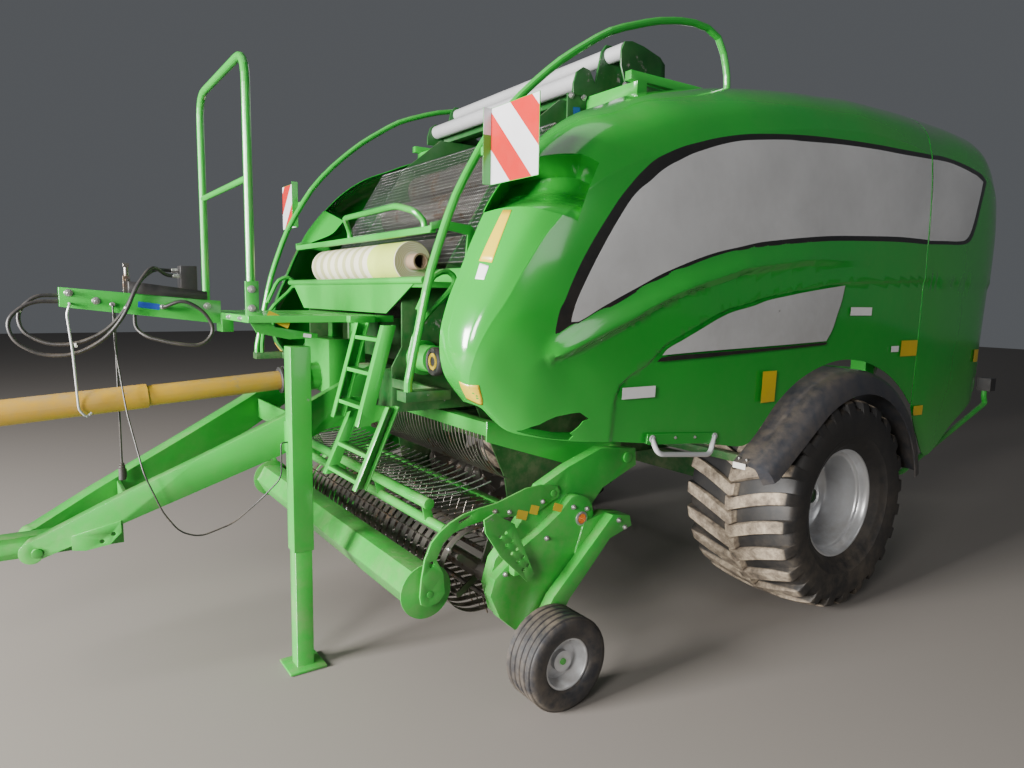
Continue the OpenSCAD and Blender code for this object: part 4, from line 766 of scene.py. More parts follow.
def film(name, outline, lift, look, body, hand, slot, cell=14):
    """a thin film of that outline, seen from the side, laid on the cowling"""
    outline = flowing(outline)
    bm = bmesh.new()
    bm.faces.new([bm.verts.new((0, y, z)) for y, z in outline])
    low = [min(p[k] for p in outline) for k in (0, 1)]
    high = [max(p[k] for p in outline) for k in (0, 1)]
    for k, direction in ((0, (0, 1, 0)), (1, (0, 0, 1))):
        place = low[k] + cell
        while place < high[k]:
            geom = bm.verts[:] + bm.edges[:] + bm.faces[:]
            bmesh.ops.bisect_plane(bm, geom=geom, plane_co=Vector(direction) * place, plane_no=direction)
            place += cell
    bmesh.ops.triangulate(bm, faces=[f for f in bm.faces if len(f.verts) > 4])
    points = []
    for vert in bm.verts:
        start = at(hand * RAY_START, vert.co.y, vert.co.z)
        hit, facing, _, _ = COWL[hand].ray_cast(start, Vector((-hand, 0, 0)), RAY_REACH)
        if hit is None:
            hit, facing, _, _ = COWL[hand].find_nearest(at(hand * 1400, vert.co.y, vert.co.z))
        if facing.x * hand < 0:
            facing = -facing
        points.append(hit + facing * lift / 1000)
    bm.verts.index_update()
    faces = [tuple(v.index for v in f.verts) for f in bm.faces]
    bm.free()
    count = len(points)
    points += [p - Vector((hand * FILM_THICK / 1000, 0, 0)) for p in points]
    faces = [f if hand > 0 else tuple(reversed(f)) for f in faces]
    edges = {(a, b): None for face in faces for a, b in zip(face, face[1:] + face[:1])}
    rims = [(b, a, count + a, count + b) for a, b in edges if (b, a) not in edges]
    back = [tuple(count + i for i in reversed(f)) for f in faces]
    return piece(name, points, faces + back + rims, body, look, slot, 50)


def make_cowls():
    for side, hand in SIDES:
        cowl(side + "_cowl", DOOR_LINES, side + "_door", hand, (side + "_door",), True)
        cowl(side + "_rear_cowl", REAR_LINES, "chassis", hand, ("rear_panels",))
        COWL[hand] = BVHTree.FromPolygons(*SKIN_ABOVE[hand])


# Broken lower front edge of the near cowling, as (y, z)
TEAR = [(-2110, 1190), (-2086, 1194), (-2055, 1207), (-2025, 1214), (-1994, 1230), (-1953, 1245),
        (-1917, 1249), (-1885, 1254), (-1842, 1255), (-1820, 1241), (-1793, 1224), (-1822, 1216),
        (-1839, 1195), (-1864, 1175), (-1877, 1167), (-1861, 1155), (-1876, 1139), (-1926, 1145),
        (-1983, 1154), (-2038, 1168), (-2078, 1178)]
# Upper film: black band first, then the silver field, split at the door's rear edge
SWOOSH = [(-1969, 1532), (-1996, 1584), (-1994, 1619), (-1981, 1678), (-1960, 1717), (-1934, 1777),
          (-1893, 1856), (-1846, 1932), (-1797, 2002), (-1746, 2069), (-1694, 2133), (-1640, 2189),
          (-1585, 2241), (-1501, 2306), (-1413, 2349), (-1320, 2386), (-1226, 2415), (-1095, 2452),
          (-892, 2494), (-517, 2540), (-178, 2565), (203, 2583), (414, 2589), (776, 2601), (776, 2078),
          (464, 2075), (52, 2058), (-229, 2042), (-488, 2017), (-649, 1999), (-802, 1981), (-948, 1958),
          (-1086, 1931), (-1218, 1896), (-1343, 1855), (-1460, 1813), (-1573, 1764), (-1681, 1712),
          (-1786, 1667), (-1885, 1619), (-1933, 1583)]
SILVER = [(-1925, 1631), (-1923, 1651), (-1902, 1718), (-1861, 1798), (-1814, 1879), (-1763, 1960),
          (-1705, 2044), (-1639, 2129), (-1587, 2178), (-1531, 2216), (-1474, 2259), (-1415, 2294),
          (-1355, 2322), (-1293, 2351), (-1229, 2375), (-1099, 2418), (-964, 2453), (-823, 2476),
          (-597, 2505), (-518, 2510), (-180, 2537), (202, 2556), (412, 2561), (776, 2575), (776, 2105),
          (459, 2103), (48, 2084), (-232, 2067), (-489, 2042), (-650, 2023), (-803, 2003), (-948, 1974),
          (-1085, 1947), (-1218, 1912), (-1343, 1872), (-1460, 1830), (-1573, 1780), (-1681, 1733),
          (-1785, 1685), (-1885, 1635)]
REAR_SILVER = [(796, 2576), (891, 2582), (1026, 2584), (1153, 2574), (1281, 2557), (1382, 2543),
               (1472, 2515), (1404, 2362), (1339, 2212), (1292, 2152), (1227, 2124), (989, 2110),
               (796, 2101)]
REAR_BAND = [(796, 2602), (901, 2611), (1034, 2610), (1187, 2600), (1332, 2582), (1457, 2558), (1528, 2521),
             (1449, 2360), (1385, 2202), (1325, 2129), (1231, 2102), (993, 2089), (796, 2080)]
# Lower film, above a thin black line
LOWER_FILM = [(-1420, 1483), (-1391, 1509), (-1295, 1549), (-1170, 1601), (-1075, 1640), (-975, 1672),
              (-825, 1701), (-714, 1729), (-522, 1758), (-440, 1770), (-272, 1791), (-57, 1816),
              (-75, 1738), (-109, 1657), (-142, 1577), (-187, 1519), (-484, 1510), (-803, 1502),
              (-1161, 1493)]
LOWER_LINE = [(-1451, 1455), (-1419, 1474), (-1160, 1484), (-802, 1493), (-483, 1502), (-177, 1513),
              (-184, 1500), (-396, 1492), (-801, 1478), (-1158, 1465)]
DOOR_BACK = 780
LABEL_SLOTS = {"yellow_film": "yellow_plastic", "white_film": "marker_board", "blue_film": "blue_film"}
# Finish, lower front corner and upper rear corner as (y, z)
BLANK_LABELS = [("yellow_film", (-712, 1222), (-600, 1379)), ("yellow_film", (585, 1411), (765, 1505)),
                ("yellow_film", (806, 1035), (906, 1095)), ("yellow_film", (1557, 1340), (1640, 1424)),
                ("white_film", (479, 1440), (559, 1475)), ("white_film", (-1640, 1300), (-1450, 1350)),
                ("white_film", (20, 1655), (230, 1700))]


def make_films():
    for side, hand in SIDES:
        door = side + "_door"
        film(side + "_swoosh_band", SWOOSH, 0.9, "black_film", door, hand, "black_plastic")
        film(side + "_swoosh", SILVER, 1.9, "silver_film", door, hand, "light_grey_tube")
        film(side + "_rear_band", REAR_BAND, 0.9, "black_film", "chassis", hand, "black_plastic")
        film(side + "_rear_silver", REAR_SILVER, 1.9, "silver_film", "chassis", hand, "light_grey_tube")
        film(side + "_lower_film", LOWER_FILM, 1.0, "silver_film", door, hand, "light_grey_tube")
        film(side + "_lower_line", LOWER_LINE, 1.1, "black_film", door, hand, "black_plastic")
        for i, (look, (y0, z0), (y1, z1)) in enumerate(BLANK_LABELS):
            outline = [(y0, z0), (y1, z0), (y1, z1), (y0, z1)]
            body = door if y1 < DOOR_BACK else "chassis"
            film(f"{side}_label_{i + 1}", outline, 0.7, look, body, hand, LABEL_SLOTS[look])


# Cords: radius, how far a bend is rounded, and the same route as the solid's, in millimetres
HOSES = {
    "hose_one": (8, 60, [
        (-14, -3595.3, 1700), (-14, -3680, 1700), (-10, -3745, 1630), (5, -3735, 1550),
        (35, -3650, 1495), (65, -3540, 1495), (90, -3430, 1550), (100, -3350, 1650), (80, -3300, 1765),
        (30, -3230, 1822), (-14, -3175, 1820), (-14, -3120.3, 1820)]),
    "hose_two": (8, 60, [
        (16, -3595.3, 1675), (16, -3700, 1675), (25, -3785, 1600), (35, -3765, 1510), (50, -3670, 1450),
        (75, -3550, 1450), (105, -3435, 1520), (130, -3360, 1625), (115, -3310, 1750), (70, -3240, 1840),
        (20, -3175, 1795), (20, -3120.3, 1795)]),
    "hose_loop": (8, 60, [
        (35.3, -3200, 1655), (90, -3200, 1655), (120, -3130, 1690), (120, -3040, 1640),
        (115, -2995, 1550), (110, -3050, 1480), (90, -3160, 1490), (40, -3270, 1520), (0, -3310, 1560),
        (0, -3310, 1618.8)]),
    "hanging_cable": (5, 50, [
        (-35.3, -3380, 1660), (-95, -3380, 1660), (-100, -3380, 1400), (-95, -3380, 932)]),
    "control_wire": (3.5, 40, [
        (35.3, -3400, 1665), (60, -3400, 1665), (64, -3400, 1480), (150, -3375, 1200), (310, -3340, 960),
        (330, -3276, 786), (330, -3213, 690), (330, -3133, 655), (335, -2992, 694), (360, -2880, 790),
        (432, -2800, 900), (432, -2800, 1060), (432, -2770.3, 1060)])}


def make_cords():
    for name, (radius, bend, route) in HOSES.items():
        path = eased(route, bend, 5)
        made = shape(name, swept(path, radius, 14), "chassis", "black_rubber", angle=60, replaces=(name,))
        length = sum((b - a).length for a, b in zip(path, path[1:])) / 1000
        places = [tuple(at(*p)) for p in path]
        extra = []
        if name == "hanging_cable":
            housing = joined(disc(16, 0, 58, edge=3), disc(14, 58, 70, edge=2), disc(10, 70, 82, edge=3))
            plug = joined(turned(housing, (-95, -3380, 850), (0, 0, 1)),
                          block(-98, -92, -3366, -3361, 862, 900))
            extra = [shape("cable_plug", plug, "chassis", "black_plastic", angle=40)]
        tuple(places[0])


# Wheels: where in each pitch of the tread a row of points lies, and how far up the lug's flank it is there
LUG_PITCHES, LUG_SKEW, TREAD_HALF = 24, 10, 330
STEPS = [0, 0.02, 0.04, 0.12, 0.21, 0.30, 0.40, 0.44, 0.46, 0.48, 0.5, 0.52, 0.54, 0.62, 0.71, 0.80, 0.90,
         0.94, 0.96, 0.98]
FLANK = {0: 0, 0.02: 0.85, 0.04: 1, 0.12: 1, 0.21: 1, 0.30: 1, 0.40: 1, 0.44: 1, 0.46: 0.85, 0.48: 0}
# Across from the middle, radius of the casing, radius on a lug
TREAD = [(265.6, 291.6, 291.6), (274, 301, 301), (292, 318, 318), (312, 340, 340), (317, 345, 345),
         (319, 352, 352), (328, 366, 366), (335, 385, 385), (338.5, 389, 389), (339, 396, 396),
         (339.5, 399, 399), (343, 420, 420), (345, 445, 445), (345, 470, 470), (343.5, 492, 494),
         (340, 508, 516), (336, 519, 534), (332, 526, 551), (327, 531, 565), (320, 535, 574),
         (309, 540, 579.5), (290, 546, 585), (269, 551, 589.5), (235, 557, 595), (200, 562, 599.5),
         (165, 566, 603), (131, 569, 606), (95, 571, 608), (60, 572, 609.4), (36, 572, 610), (30, 572, 610),
         (24, 572, 610), (18, 572, 610), (9, 572, 610), (0, 572, 610)]


def make_tyres():
    """lugs from each shoulder past the middle, half a pitch apart and leading in the middle"""
    rows = TREAD + [(-u, base, top) for u, base, top in reversed(TREAD[:-1])]
    for side, hand in SIDES:
        points, faces = [], []
        for pitch in range(LUG_PITCHES):
            for step in STEPS:
                for u, base, top in rows:
                    skew = LUG_SKEW * max(0, 1 - abs(u) / TREAD_HALF) ** 1.4
                    own = FLANK.get(step, 0) * (1 - smooth(-u, 22, 33))
                    other = FLANK.get(round(step - 0.5, 2), 0) * (1 - smooth(u, 22, 33))
                    turn = math.radians(-90 + (pitch + step) * 360 / LUG_PITCHES + skew)
                    r = base + (top - base) * max(own, other)
                    points.append(at(hand * (WHEEL_OUT + u), r * math.cos(turn),
                                     WHEEL_UP + r * math.sin(turn)))
        wide, count = len(rows), LUG_PITCHES * len(STEPS)
        for i in range(count):
            for j in range(wide):
                a, b = i * wide + j, i * wide + (j + 1) % wide
                c, d = ((i + 1) % count) * wide + (j + 1) % wide, ((i + 1) % count) * wide + j
                faces.append((a, b, c, d) if hand < 0 else (d, c, b, a))
        piece(side + "_road_tyre", points, faces, side + "_wheel", "road_tyre", "tyre_rubber", 30,
              (side + "_tyre",))


# Rim and disc of a road wheel, as (radius, x from the wheel's middle) once round the section
WHEEL_NUTS, NUT_RADIUS, VALVE_TURN = 10, 150, 205
RIM = [(279, -279), (305, -280), (305, -273), (300, -266), (291.6, -258), (291.6, 258), (300, 266),
       (305, 273), (305, 279), (302, 280), (296, 279), (290, 274), (285, 264), (281, 250), (279, 236),
       (277, 232), (262, 228), (259, 224), (257, 214), (254, 140), (250, 60), (246, 42), (240, 34),
       (190, 12), (150, 10), (120, 26), (112, 42), (110, 70), (104, 73), (80, 75), (80, 101), (76, 105),
       (60, 110), (42.1, 110), (42.1, -60), (100, -60), (110, -10), (180, -14), (232, 20), (246, -60),
       (262, -210)]


def on_wheel(hand, x, r, degrees):
    turn = math.radians(degrees)
    return hand * (WHEEL_OUT + x), r * math.cos(turn), WHEEL_UP + r * math.sin(turn)


def make_rims():
    for side, hand in SIDES:
        wheel = lathe([(r, hand * (WHEEL_OUT + x)) for r, x in RIM], (0, WHEEL_UP), 128)
        places = [on_wheel(hand, 11, NUT_RADIUS, 360 / WHEEL_NUTS * i) for i in range(WHEEL_NUTS)]
        nuts = [bolt(place, (hand, 0, 0), 15) for place in places]
        valve = swept([on_wheel(hand, x, r, VALVE_TURN) for x, r in ((120, 256), (128, 240), (160, 232))],
                      4, 10)
        shape(side + "_road_rim", joined(wheel, *nuts, valve), side + "_wheel", "grey_rim", angle=30,
              replaces=(side + "_rim",))


# Half a gauge tyre's section as (radius, x from the wheel's middle)
GAUGE_OUT, GAUGE_PLACE = 1345, (-1925, 205)
GAUGE_TYRE = [(112.75, 80), (118, 87), (126, 91), (142, 94), (160, 95), (176, 94), (188, 90), (196, 83),
              (199, 78)]


def make_gauge_wheels():
    for side, hand in SIDES:
        section = list(GAUGE_TYRE)
        for middle in (66, 33, 0, -33, -66):
            rib = [(199, 14), (203, 12.5), (205, 10), (205, -10), (203, -12.5), (199, -14)]
            section += [(r, middle + x) for r, x in rib]
        section += [(r, -x) for r, x in reversed(GAUGE_TYRE)]
        tyre = lathe([(r, hand * (GAUGE_OUT + x)) for r, x in section], GAUGE_PLACE, 96)
        shape(side + "_small_tyre", tyre, side + "_gauge_wheel", "gauge_rubber", "tyre_rubber", 35,
              (side + "_gauge_tyre",))


# Fenders: an arc with a flat flap in front. Their section is (radius, x), outside and inside
FENDER_CENTRE, FENDER_RADIUS, FENDER_EDGE = (60, 595), 760, 1500
FENDER_START, FENDER_STOP, FENDER_ROWS = 8, 126.7, 60
FLAP_LONG, FLAP_ROWS, FLAP_CORNER, FLAP_NARROW, FLAP_INNER = 490, 16, 60, -560, 1310
FENDER_OUTER = [(762, 1130), (762, 1220), (762, 1310), (762, 1395), (760, 1412), (752, 1438), (742, 1455),
                (722, 1473), (700, 1485), (668, 1494), (638, 1499.5), (632, 1500)]
FENDER_INNER = [(632, 1492), (666, 1486.5), (696, 1477), (716, 1466), (735, 1449), (745, 1431), (752, 1410),
                (754, 1394), (754, 1310), (754, 1220), (754, 1130)]


def fender_row(hand, degrees, run, narrowest, widest):
    """the section at that turn about the fender's centre, then so far down along the flap"""
    cos, sin = math.cos(math.radians(degrees)), math.sin(math.radians(degrees))
    y, z = FENDER_CENTRE
    ring = [(r, min(max(x, narrowest), widest)) for r, x in FENDER_OUTER + FENDER_INNER]
    return [(hand * x, y + r * cos - run * sin, z + r * sin + run * cos) for r, x in ring]


def make_fenders():
    stop = math.radians(FENDER_STOP)
    straight = FLAP_LONG - FLAP_CORNER
    for side, hand in SIDES:
        rows = []
        for i in range(FENDER_ROWS + 1):
            degrees = FENDER_START + (FENDER_STOP - FENDER_START) * i / FENDER_ROWS
            rows.append(fender_row(hand, degrees, 0, 0, FENDER_EDGE))
        for k in range(1, FLAP_ROWS + 1):
            run = FLAP_LONG * k / FLAP_ROWS
            off = max(0, run - straight)
            widest = FENDER_EDGE - FLAP_CORNER + math.sqrt(max(0, FLAP_CORNER ** 2 - off ** 2))
            front = FENDER_CENTRE[0] + FENDER_RADIUS * math.cos(stop) - run * math.sin(stop)
            rows.append(fender_row(hand, FENDER_STOP, run, FLAP_INNER if front < FLAP_NARROW else 0, widest))
        wide = len(rows[0])
        points = [p for row in rows for p in row]
        faces = []
        for i in range(0, len(points) - wide, wide):
            for j in range(wide):
                beyond = (j + 1) % wide
                faces.append((i + j, i + beyond, i + wide + beyond, i + wide + j))
        faces += [tuple(range(wide)), tuple(range(len(points) - 1, len(points) - wide - 1, -1))]
        shape(side + "_mudguard", (points, faces), "chassis", "fender_plastic", "black_plastic", 40,
              ("fenders",) if hand > 0 else ())


# Marker boards with red and white stripes, each with a flange bent forward
# Edges of the face: inner and outer as x, lower and upper as z
BOARD_EDGES, BOARD_RIM, STRIPE = (1179, 1493, 2162, 2448), 2, 141


def clipped(outline, low, high):
    """the part of an outline between two values of x + z"""
    for limit, keep in ((low, 1), (high, -1)):
        made = []
        for a, b in zip(outline, outline[1:] + outline[:1]):
            fa, fb = keep * (a[0] + a[1] - limit), keep * (b[0] + b[1] - limit)
            if fa >= 0:
                made.append(a)
            if (fa >= 0) != (fb >= 0):
                share = fa / (fa - fb)
                made.append((a[0] + share * (b[0] - a[0]), a[1] + share * (b[1] - a[1])))
        outline = made
    return outline


def make_boards():
    inner, outer, low, high = BOARD_EDGES
    face = [(inner, low), (outer, low), (outer, high), (inner, high)]
    start = inner + high - 12
    inner, outer, low, high = inner - BOARD_RIM, outer + BOARD_RIM, low - BOARD_RIM, high + BOARD_RIM
    plate = joined(block(inner, outer, -2181.4, -2178.6, low, high),
                   block(1097.3, 1230, -2178.4, -2172, 2286, 2318),
                   block(inner, inner + BOARD_RIM, -2218, -2181, low, high))
    shape("board_plates", both(plate), "chassis", "green_paint", round_edges=0.6, replaces=("marker_boards",))
    red, white = [], []
    for i in range(-4, 3):
        band = clipped(face, start - STRIPE * (i + 1), start - STRIPE * i)
        if len(band) > 2:
            for front, back in ((-2181.9, -2181.2), (-2178.8, -2178.1)):
                (red if i % 2 == 0 else white).append(slab(band, front, back, "y"))
    white.append(slab([(-2217, 2349), (-2183, 2349), (-2183, 2449), (-2217, 2449)], 1179, 1179.8))
    shape("board_red", both(*red), "chassis", "board_red", "board_red")
    shape("board_white", both(*white), "chassis", "marker_board")
    heads = bolts([(1206, -2171.8, 2302), (1118, -2171.8, 2302)], (0, 1, 0), 7)
    shape("board_bolts", both(heads), "chassis", "zinc")


# Net binding: the roll on its core, and the mesh guard behind it
NET_PLACE, NET_RADIUS, NET_HALF = (-2210, 1880), 95, 560
CORE_RADIUS, CORE_HALF = 38, 640
MESH_LOW, MESH_HIGH, MESH_HALF, MESH_PITCH, MESH_RADIUS = (-2060, 1880), (-1680, 2510), 938, 20, 1.3
MESH_ROWS = 30


def sleeve(inner, outer, start, stop, steps):
    """a plain ring about the net roll's line"""
    return lathe([(inner, start), (outer, start), (outer, stop), (inner, stop)], NET_PLACE, steps)


def make_net_roll():
    rim = NET_RADIUS - 1.5
    outline = [(CORE_RADIUS, -NET_HALF), (rim, -NET_HALF), (NET_RADIUS, 4 - NET_HALF),
               (NET_RADIUS, NET_HALF - 4), (rim, NET_HALF), (CORE_RADIUS, NET_HALF)]
    body = lathe(outline, NET_PLACE, 72)
    shape("net_roll_body", body, "chassis", "net_wrap", angle=40, replaces=("net_roll",))
    core = sleeve(30, CORE_RADIUS - 0.1, -CORE_HALF, CORE_HALF, 40)
    shape("net_roll_core", core, "chassis", "board_brown", "board_brown")
    marks = [sleeve(r, r + 3, hand * (NET_HALF + 0.1), hand * (NET_HALF + 0.9), 60)
             for hand in (1, -1) for r in range(50, 91, 8)]
    shape("net_roll_layers", joined(*marks), "chassis", "net_olive", "net_wrap")
    end = sleeve(NET_RADIUS + 0.1, NET_RADIUS + 0.9, 250, NET_HALF - 5, 72)
    shape("net_roll_end", end, "chassis", "net_green", "net_wrap")
    stripes = [sleeve(NET_RADIUS + 0.1, NET_RADIUS + 0.6, x, x + 46, 72) for x in range(-530, 200, 112)]
    shape("net_roll_stripes", joined(*stripes), "chassis", "net_stripe", "net_wrap")


def make_mesh_guard():
    low, high = Vector((0, *MESH_LOW)), Vector((0, *MESH_HIGH))
    along = (high - low).normalized()
    away = Vector((0, -along.z, along.y))
    run = (high - low).length
    wires = []
    for x in range(-MESH_HALF, MESH_HALF + 5, MESH_PITCH):
        wires.append(swept([(x, *(low + away * 1.2)[1:]), (x, *(high + away * 1.2)[1:])], MESH_RADIUS, 6))
    for j in range(MESH_ROWS + 1):
        spot = low + along * (2 + j * (run - 4) / MESH_ROWS) + away * 3.2
        wires.append(swept([(-MESH_HALF - 2, *spot[1:]), (MESH_HALF + 2, *spot[1:])], MESH_RADIUS, 6))
    for spot in (low, high):
        wires.append(swept([(-MESH_HALF, *(spot + away * 2)[1:]), (MESH_HALF, *(spot + away * 2)[1:])], 4, 8))
    shape("guard_mesh", joined(*wires), "chassis", "bright_steel", "light_grey_tube", 60, ("mesh_guard",))


# Door fittings: the handle on its strip, and the hinges' lugs and pins
HINGE_UP, HINGE_PLACES, HANDLE_FEET = 2790, (-480, 100, 680), ((-1446, 1110), (-1030, 1082))
STRIP_BOLTS = ((-1440, 1113), (-1300, 1102), (-1170, 1092), (-1036, 1076))


def make_door_fittings():
    for side, hand in SIDES:
        def own(part):
            return part if hand > 0 else mirrored(part)

        door = side + "_door"
        strip = slab([(-1480, 1092), (-1474, 1134), (-1006, 1098), (-1000, 1054), (-1012, 1048),
                      (-1470, 1086)], 1381, 1387)
        shape(side + "_handle_strip", own(strip), door, "cowl_green", "green_paint", round_edges=1)
        grab = swept(eased([(1384, -1446, 1113), (1400, -1420, 1040), (1400, -1070, 1000),
                            (1384, -1030, 1085)], 36, 8), 12, 18)
        shape(side + "_grab_handle", own(grab), door, "handle_grey", "light_grey_tube", 50)
        feet = [turned(disc(17, 0, 5, steps=28, edge=1), (1386, y, z), (1, 0, 0)) for y, z in HANDLE_FEET]
        shape(side + "_handle_feet", own(joined(*feet)), door, "handle_grey", "light_grey_tube", 40)
        lugs = [block(1100, 1122, y + 12, y + 48, HINGE_UP - 10, HINGE_UP + 20 + k * 18)
                for k, y in enumerate(HINGE_PLACES)]
        shape(side + "_door_lugs", own(joined(*lugs)), door, "green_paint", round_edges=2)
        pins = [turned(disc(9, -34, 34, steps=20, edge=2), (1110, y + 30, HINGE_UP), (0, 1, 0))
                for y in HINGE_PLACES]
        shape(side + "_door_pins", own(joined(*pins)), door, "zinc", "bright_steel")
        heads = bolts([(1388, y, z) for y, z in STRIP_BOLTS], (1, 0, 0), 6)
        shape(side + "_door_bolts", own(heads), door, "zinc", "bright_steel")


# Round amber reflectors on the pickup's sides
def make_reflectors():
    for side, hand in SIDES:
        place, way = (hand * 1160.2, -1653, 720), (hand, 0, 0)
        rim = turned(lathe([(24, 0), (33, 0), (33, 7), (30, 9), (24, 9)], (0, 0), 48), place, way)
        shape(side + "_reflector_rim", rim, "pickup", "zinc", "bright_steel")
        rings = [lathe([(r, 6.6), (r + 2.4, 6.6), (r + 1.2, 8.0)], (0, 0), 40) for r in (4, 9, 14, 19)]
        glass = turned(joined(disc(24, 0, 7, steps=48, edge=2), *rings), place, way)
        shape(side + "_reflector", glass, "pickup", "amber_glass", "amber_glass")


# Plain labels with rounded corners on flat faces
def rounded_label(size, corner=3):
    wide, tall = size[0] / 2 - corner, size[1] / 2 - corner
    made = []
    for quarter, (right, up) in enumerate(((1, 1), (-1, 1), (-1, -1), (1, -1))):
        turns = [math.radians(quarter * 90 + k * 30) for k in range(4)]
        made += [(right * wide + corner * math.cos(turn), up * tall + corner * math.sin(turn))
                 for turn in turns]
    return made


def label(centre, way, size, tilt, lift=0.35):
    """a thin label, its face towards way, its long side level before the tilt"""
    facing = Vector(way).normalized()
    level = Vector((0, 0, 1)).cross(facing)
    level = level.normalized() if level.length > 0.01 else Vector((1, 0, 0))
    up = facing.cross(level)
    turn = math.radians(tilt)
    cos, sin = math.cos(turn), math.sin(turn)
    outline = [(a * cos - b * sin, a * sin + b * cos) for a, b in rounded_label(size)]
    flat = [Vector(centre) + level * a + up * b for a, b in outline]
    points = [tuple(p - facing * 0.1) for p in flat] + [tuple(p + facing * lift) for p in flat]
    return points, slab(outline, 0, lift)[1]


def patch(name, corners, lift, look, body, hand, slot, cells=8):
    """a film with four corners, laid on the nearest cowling"""
    a, b, c, d = (Vector(p) for p in corners)
    points = []
    for i in range(cells + 1):
        for j in range(cells + 1):
            s, t = i / cells, j / cells
            spot = (a * (1 - s) + b * s) * (1 - t) + (d * (1 - s) + c * s) * t
            hit, facing, _, _ = COWL[hand].find_nearest(at(hand * spot.x, spot.y, spot.z))
            if facing.dot(at(hand * 2600, -3600, 2000) - hit) < 0:
                facing = -facing
            points.append(hit + facing * lift / 1000)
    wide = cells + 1
    starts = [i * wide + j for i in range(cells) for j in range(cells)]
    faces = [(k, k + wide, k + wide + 1, k + 1) for k in starts]
    made = piece(name, points, faces, body, look, slot, 60)
    thick = made.modifiers.new("thickness", "SOLIDIFY")
    thick.thickness = FILM_THICK / 1000
    thick.offset = -1
    return made


COWL_PATCHES = [
    ("front_label", "yellow_film",
     [(1222, -2149, 2064), (1260, -2133, 2062), (1274, -2231, 1854), (1212, -2252, 1862)]),
    ("front_lower_label", "yellow_film",
     [(1214, -2338, 1398), (1284, -2290, 1387), (1255, -2248, 1310), (1175, -2278, 1318)]),
    ("front_small_label", "white_film",
     [(1221, -2253, 1854), (1267, -2240, 1842), (1269, -2263, 1789), (1228, -2278, 1792)])]

# Plain labels: look, body, middle, way they face, size, tilt
LABELS = [
    ("yellow_film", "crop_guard", (1126.3, -1962, 776), (1, 0, 0), (58, 40), -18),
    ("yellow_film", "crop_guard", (1126.3, -1896, 789), (1, 0, 0), (46, 40), -18),
    ("blue_film", "chassis", (743.3, -1402, 2630), (1, 0, 0), (44, 64), 6),
    ("blue_film", "chassis", (35.3, -3255, 1660), (1, 0, 0), (88, 26), -8),
    ("yellow_film", "chassis", (486.6, -2815, 1612), (1, 0, 0), (104, 38), -25),
    ("yellow_film", "chassis", (-60, -2950.3, 1615), (0, -1, 0), (120, 22), 0),
    ("yellow_film", "pickup", (1160.3, -1790, 792), (1, 0, 0), (52, 34), -20),
    ("white_film", "chassis", (486.6, -2690, 1541), (1, 0, 0), (36, 16), -8)]


def make_labels():
    for i, (look, body, centre, way, size, tilt) in enumerate(LABELS):
        shape(f"flat_label_{i + 1}", label(centre, way, size, tilt), body, look, LABEL_SLOTS[look])
    for side, hand in SIDES:
        for name, look, corners in COWL_PATCHES:
            patch(f"{side}_{name}", corners, 0.7, look, side + "_door", hand, LABEL_SLOTS[look])


# Small fixings: body, way they face, head size, places
FIXINGS = [
    ("chassis", (1, 0, 0), 13,
     [(125, -3668, 640), (486.3, -2925, 1740), (486.3, -2925, 1660), (35, -3560, 1712), (35, -3010, 1660),
     (35, -3460, 1680), (743, -1440, 2712), (743, -1362, 2715), (876, -1210, 2770), (876, -1188, 2770)]),
    ("chassis", (0, -1, 0), 10,
     [(-420, -2950.2, 1615), (-300, -2950.2, 1615), (200, -2950.2, 1615), (400, -2950.2, 1615)]),
    ("crop_guard", (1, 0, 0), 9,
     [(1126, -2030, 800), (1126, -2105, 815), (1126, -1850, 820), (1126, -2330, 690)]),
    ("pickup", (1, 0, 0), 10,
     [(1160, -1700, 780), (1160, -1620, 760), (1160, -1850, 660), (1160, -2070, 540), (1226, -1480, 700),
     (1226, -1440, 660), (1226, -1905, 262)])]


def make_fixings():
    for i, (body, way, size, places) in enumerate(FIXINGS):
        shape(f"fixings_{i + 1}", bolts(places, way, size), body, "zinc", "bright_steel", 30)


# Hose fittings: a clevis that carries the hoses, ties round them and the nuts where they go in: place and way
HOSE_TIES = (((-8, -3738, 1636), (-0.05, -0.5, -0.85)), ((100, -3352, 1648), (0.1, 0.6, 0.8)),
             ((66, -3545, 1492), (0.3, 0.95, 0.05)))


def hose_nut(place, way, nut, collar):
    """a hexagon nut with a round collar before it, each so long"""
    return turned(joined(disc(12, 0, nut, steps=6, edge=1), disc(10, nut, nut + collar, edge=1)), place, way)


def make_hose_end():
    cheeks = [block(x, x + 5, -3350, -3322, 1716, 1790) for x in (-9, 4)]
    pin = turned(disc(7, -16, 16, steps=20, edge=1), (0, -3336, 1772), (1, 0, 0))
    stem = turned(disc(9, 0, 58, edge=2), (0, -3336, 1776), (0, 0, 1))
    clevis = joined(*cheeks, pin, stem, block(-12, 12, -3348, -3324, 1828, 1846))
    shape("hose_clevis", clevis, "chassis", "worn_steel", round_edges=1)
    tie = lathe([(8.6, -4), (10.6, -4), (10.6, 4), (8.6, 4)], (0, 0), 24)
    ties = [turned(tie, place, way) for place, way in HOSE_TIES]
    shape("hose_ties", joined(*ties), "chassis", "strap_white", "marker_board")
    collars = [hose_nut((-14, -3120.2, 1820), (0, -1, 0), 12, 18),
               hose_nut((20, -3120.2, 1795), (0, -1, 0), 12, 18),
               hose_nut((35.2, -3200, 1655), (1, 0, 0), 10, 16),
               turned(disc(10, 0, 20, edge=1), (35.2, -3400, 1665), (1, 0, 0))]
    shape("hose_fittings", joined(*collars), "chassis", "zinc", "bright_steel")


# The net brake's round cover with its yellow ring
COVER_PLACE = (1063, -2350.4, 1462)


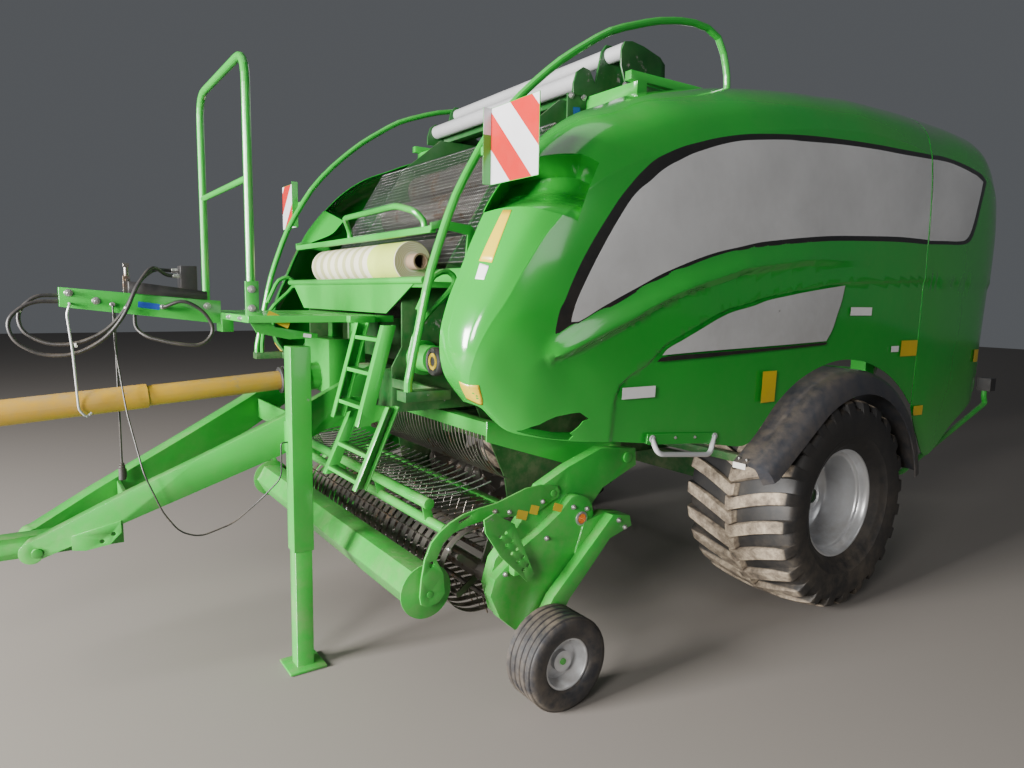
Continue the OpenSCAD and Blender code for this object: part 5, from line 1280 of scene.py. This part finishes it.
def make_net_brake():
    housing = lathe([(PIN, 0), (58, 0), (58, 20), (54, 26), (40, 26), (38, 22), (PIN, 22)], (0, 0), 56)
    shape("round_cover", turned(housing, COVER_PLACE, (0, -1, 0)), "chassis", "black_plastic")
    ring = lathe([(20, 22), (34, 22), (34, 24.5), (20, 24.5)], (0, 0), 56)
    shape("round_cover_ring", turned(ring, COVER_PLACE, (0, -1, 0)), "chassis", "yellow_film",
          "yellow_plastic")


# The small plates and bolts on the fenders' flaps
def make_flap_plates():
    plate = block(1320, 1396, -799, -795, 889, 919)
    shape("flap_plates", both(plate), "chassis", "strap_white", "marker_board", round_edges=1)
    heads = bolts([(1336, -771, 935), (1382, -771, 935)], (0, -0.6, 0.8), 6)
    shape("flap_bolts", both(heads), "chassis", "zinc", "bright_steel")


# The solids that stay in view: width of the small round on their edges
WELD_GAP = 0.00002
SOFTENED = {"main_frame": 2, "axle": 2, "upper_frame": 1.5, "drawbar": 2, "hitch_tongue": 2,
            "stand_tube": 2, "stand_leg": 2, "gearbox": 3, "platform": 1.2, "ladder_upper": 1,
            "ladder_lower": 1, "pickup_frame": 1.5, "crop_guard": 1.2, "gauge_arms": 2,
            "chamber_sides": 1.5, "top_unit": 1, "crop_comb": 1.5, "hose_pad": 2, "net_tray": 1,
            "wrap_table": 2, "ring_portal": 2, "film_dispensers": 2, "left_gauge_rim": 1,
            "right_gauge_rim": 1, "feed_rotor": 1, "press_roller": 1}


def round_solids():
    for name, solid in frame["nodes"].items():
        if name in SOFTENED:
            weld = solid.modifiers.new("weld", "WELD")
            weld.merge_threshold = WELD_GAP
            soften(solid, SOFTENED[name], 30)
        shade(solid.data, 32)


def dress_solids():
    """each solid's finish by the slot that the record gives it"""
    slots = {row["node"]: row["material_slot"] for row in frame["record"]["subparts"]}
    for name, solid in frame["nodes"].items():
        solid.data.materials.clear()
        solid.data.materials.append(FINISH[slots[name]])


FINISH = make_finishes()
set_camera()
make_cords()
set_studio()
dress_solids()
make_tyres()
make_rims()
make_gauge_wheels()
make_fenders()
make_cowls()
make_films()
make_boards()
make_net_roll()
make_mesh_guard()
make_door_fittings()
make_reflectors()
make_labels()
make_fixings()
make_hose_end()
make_net_brake()
make_flap_plates()
round_solids()
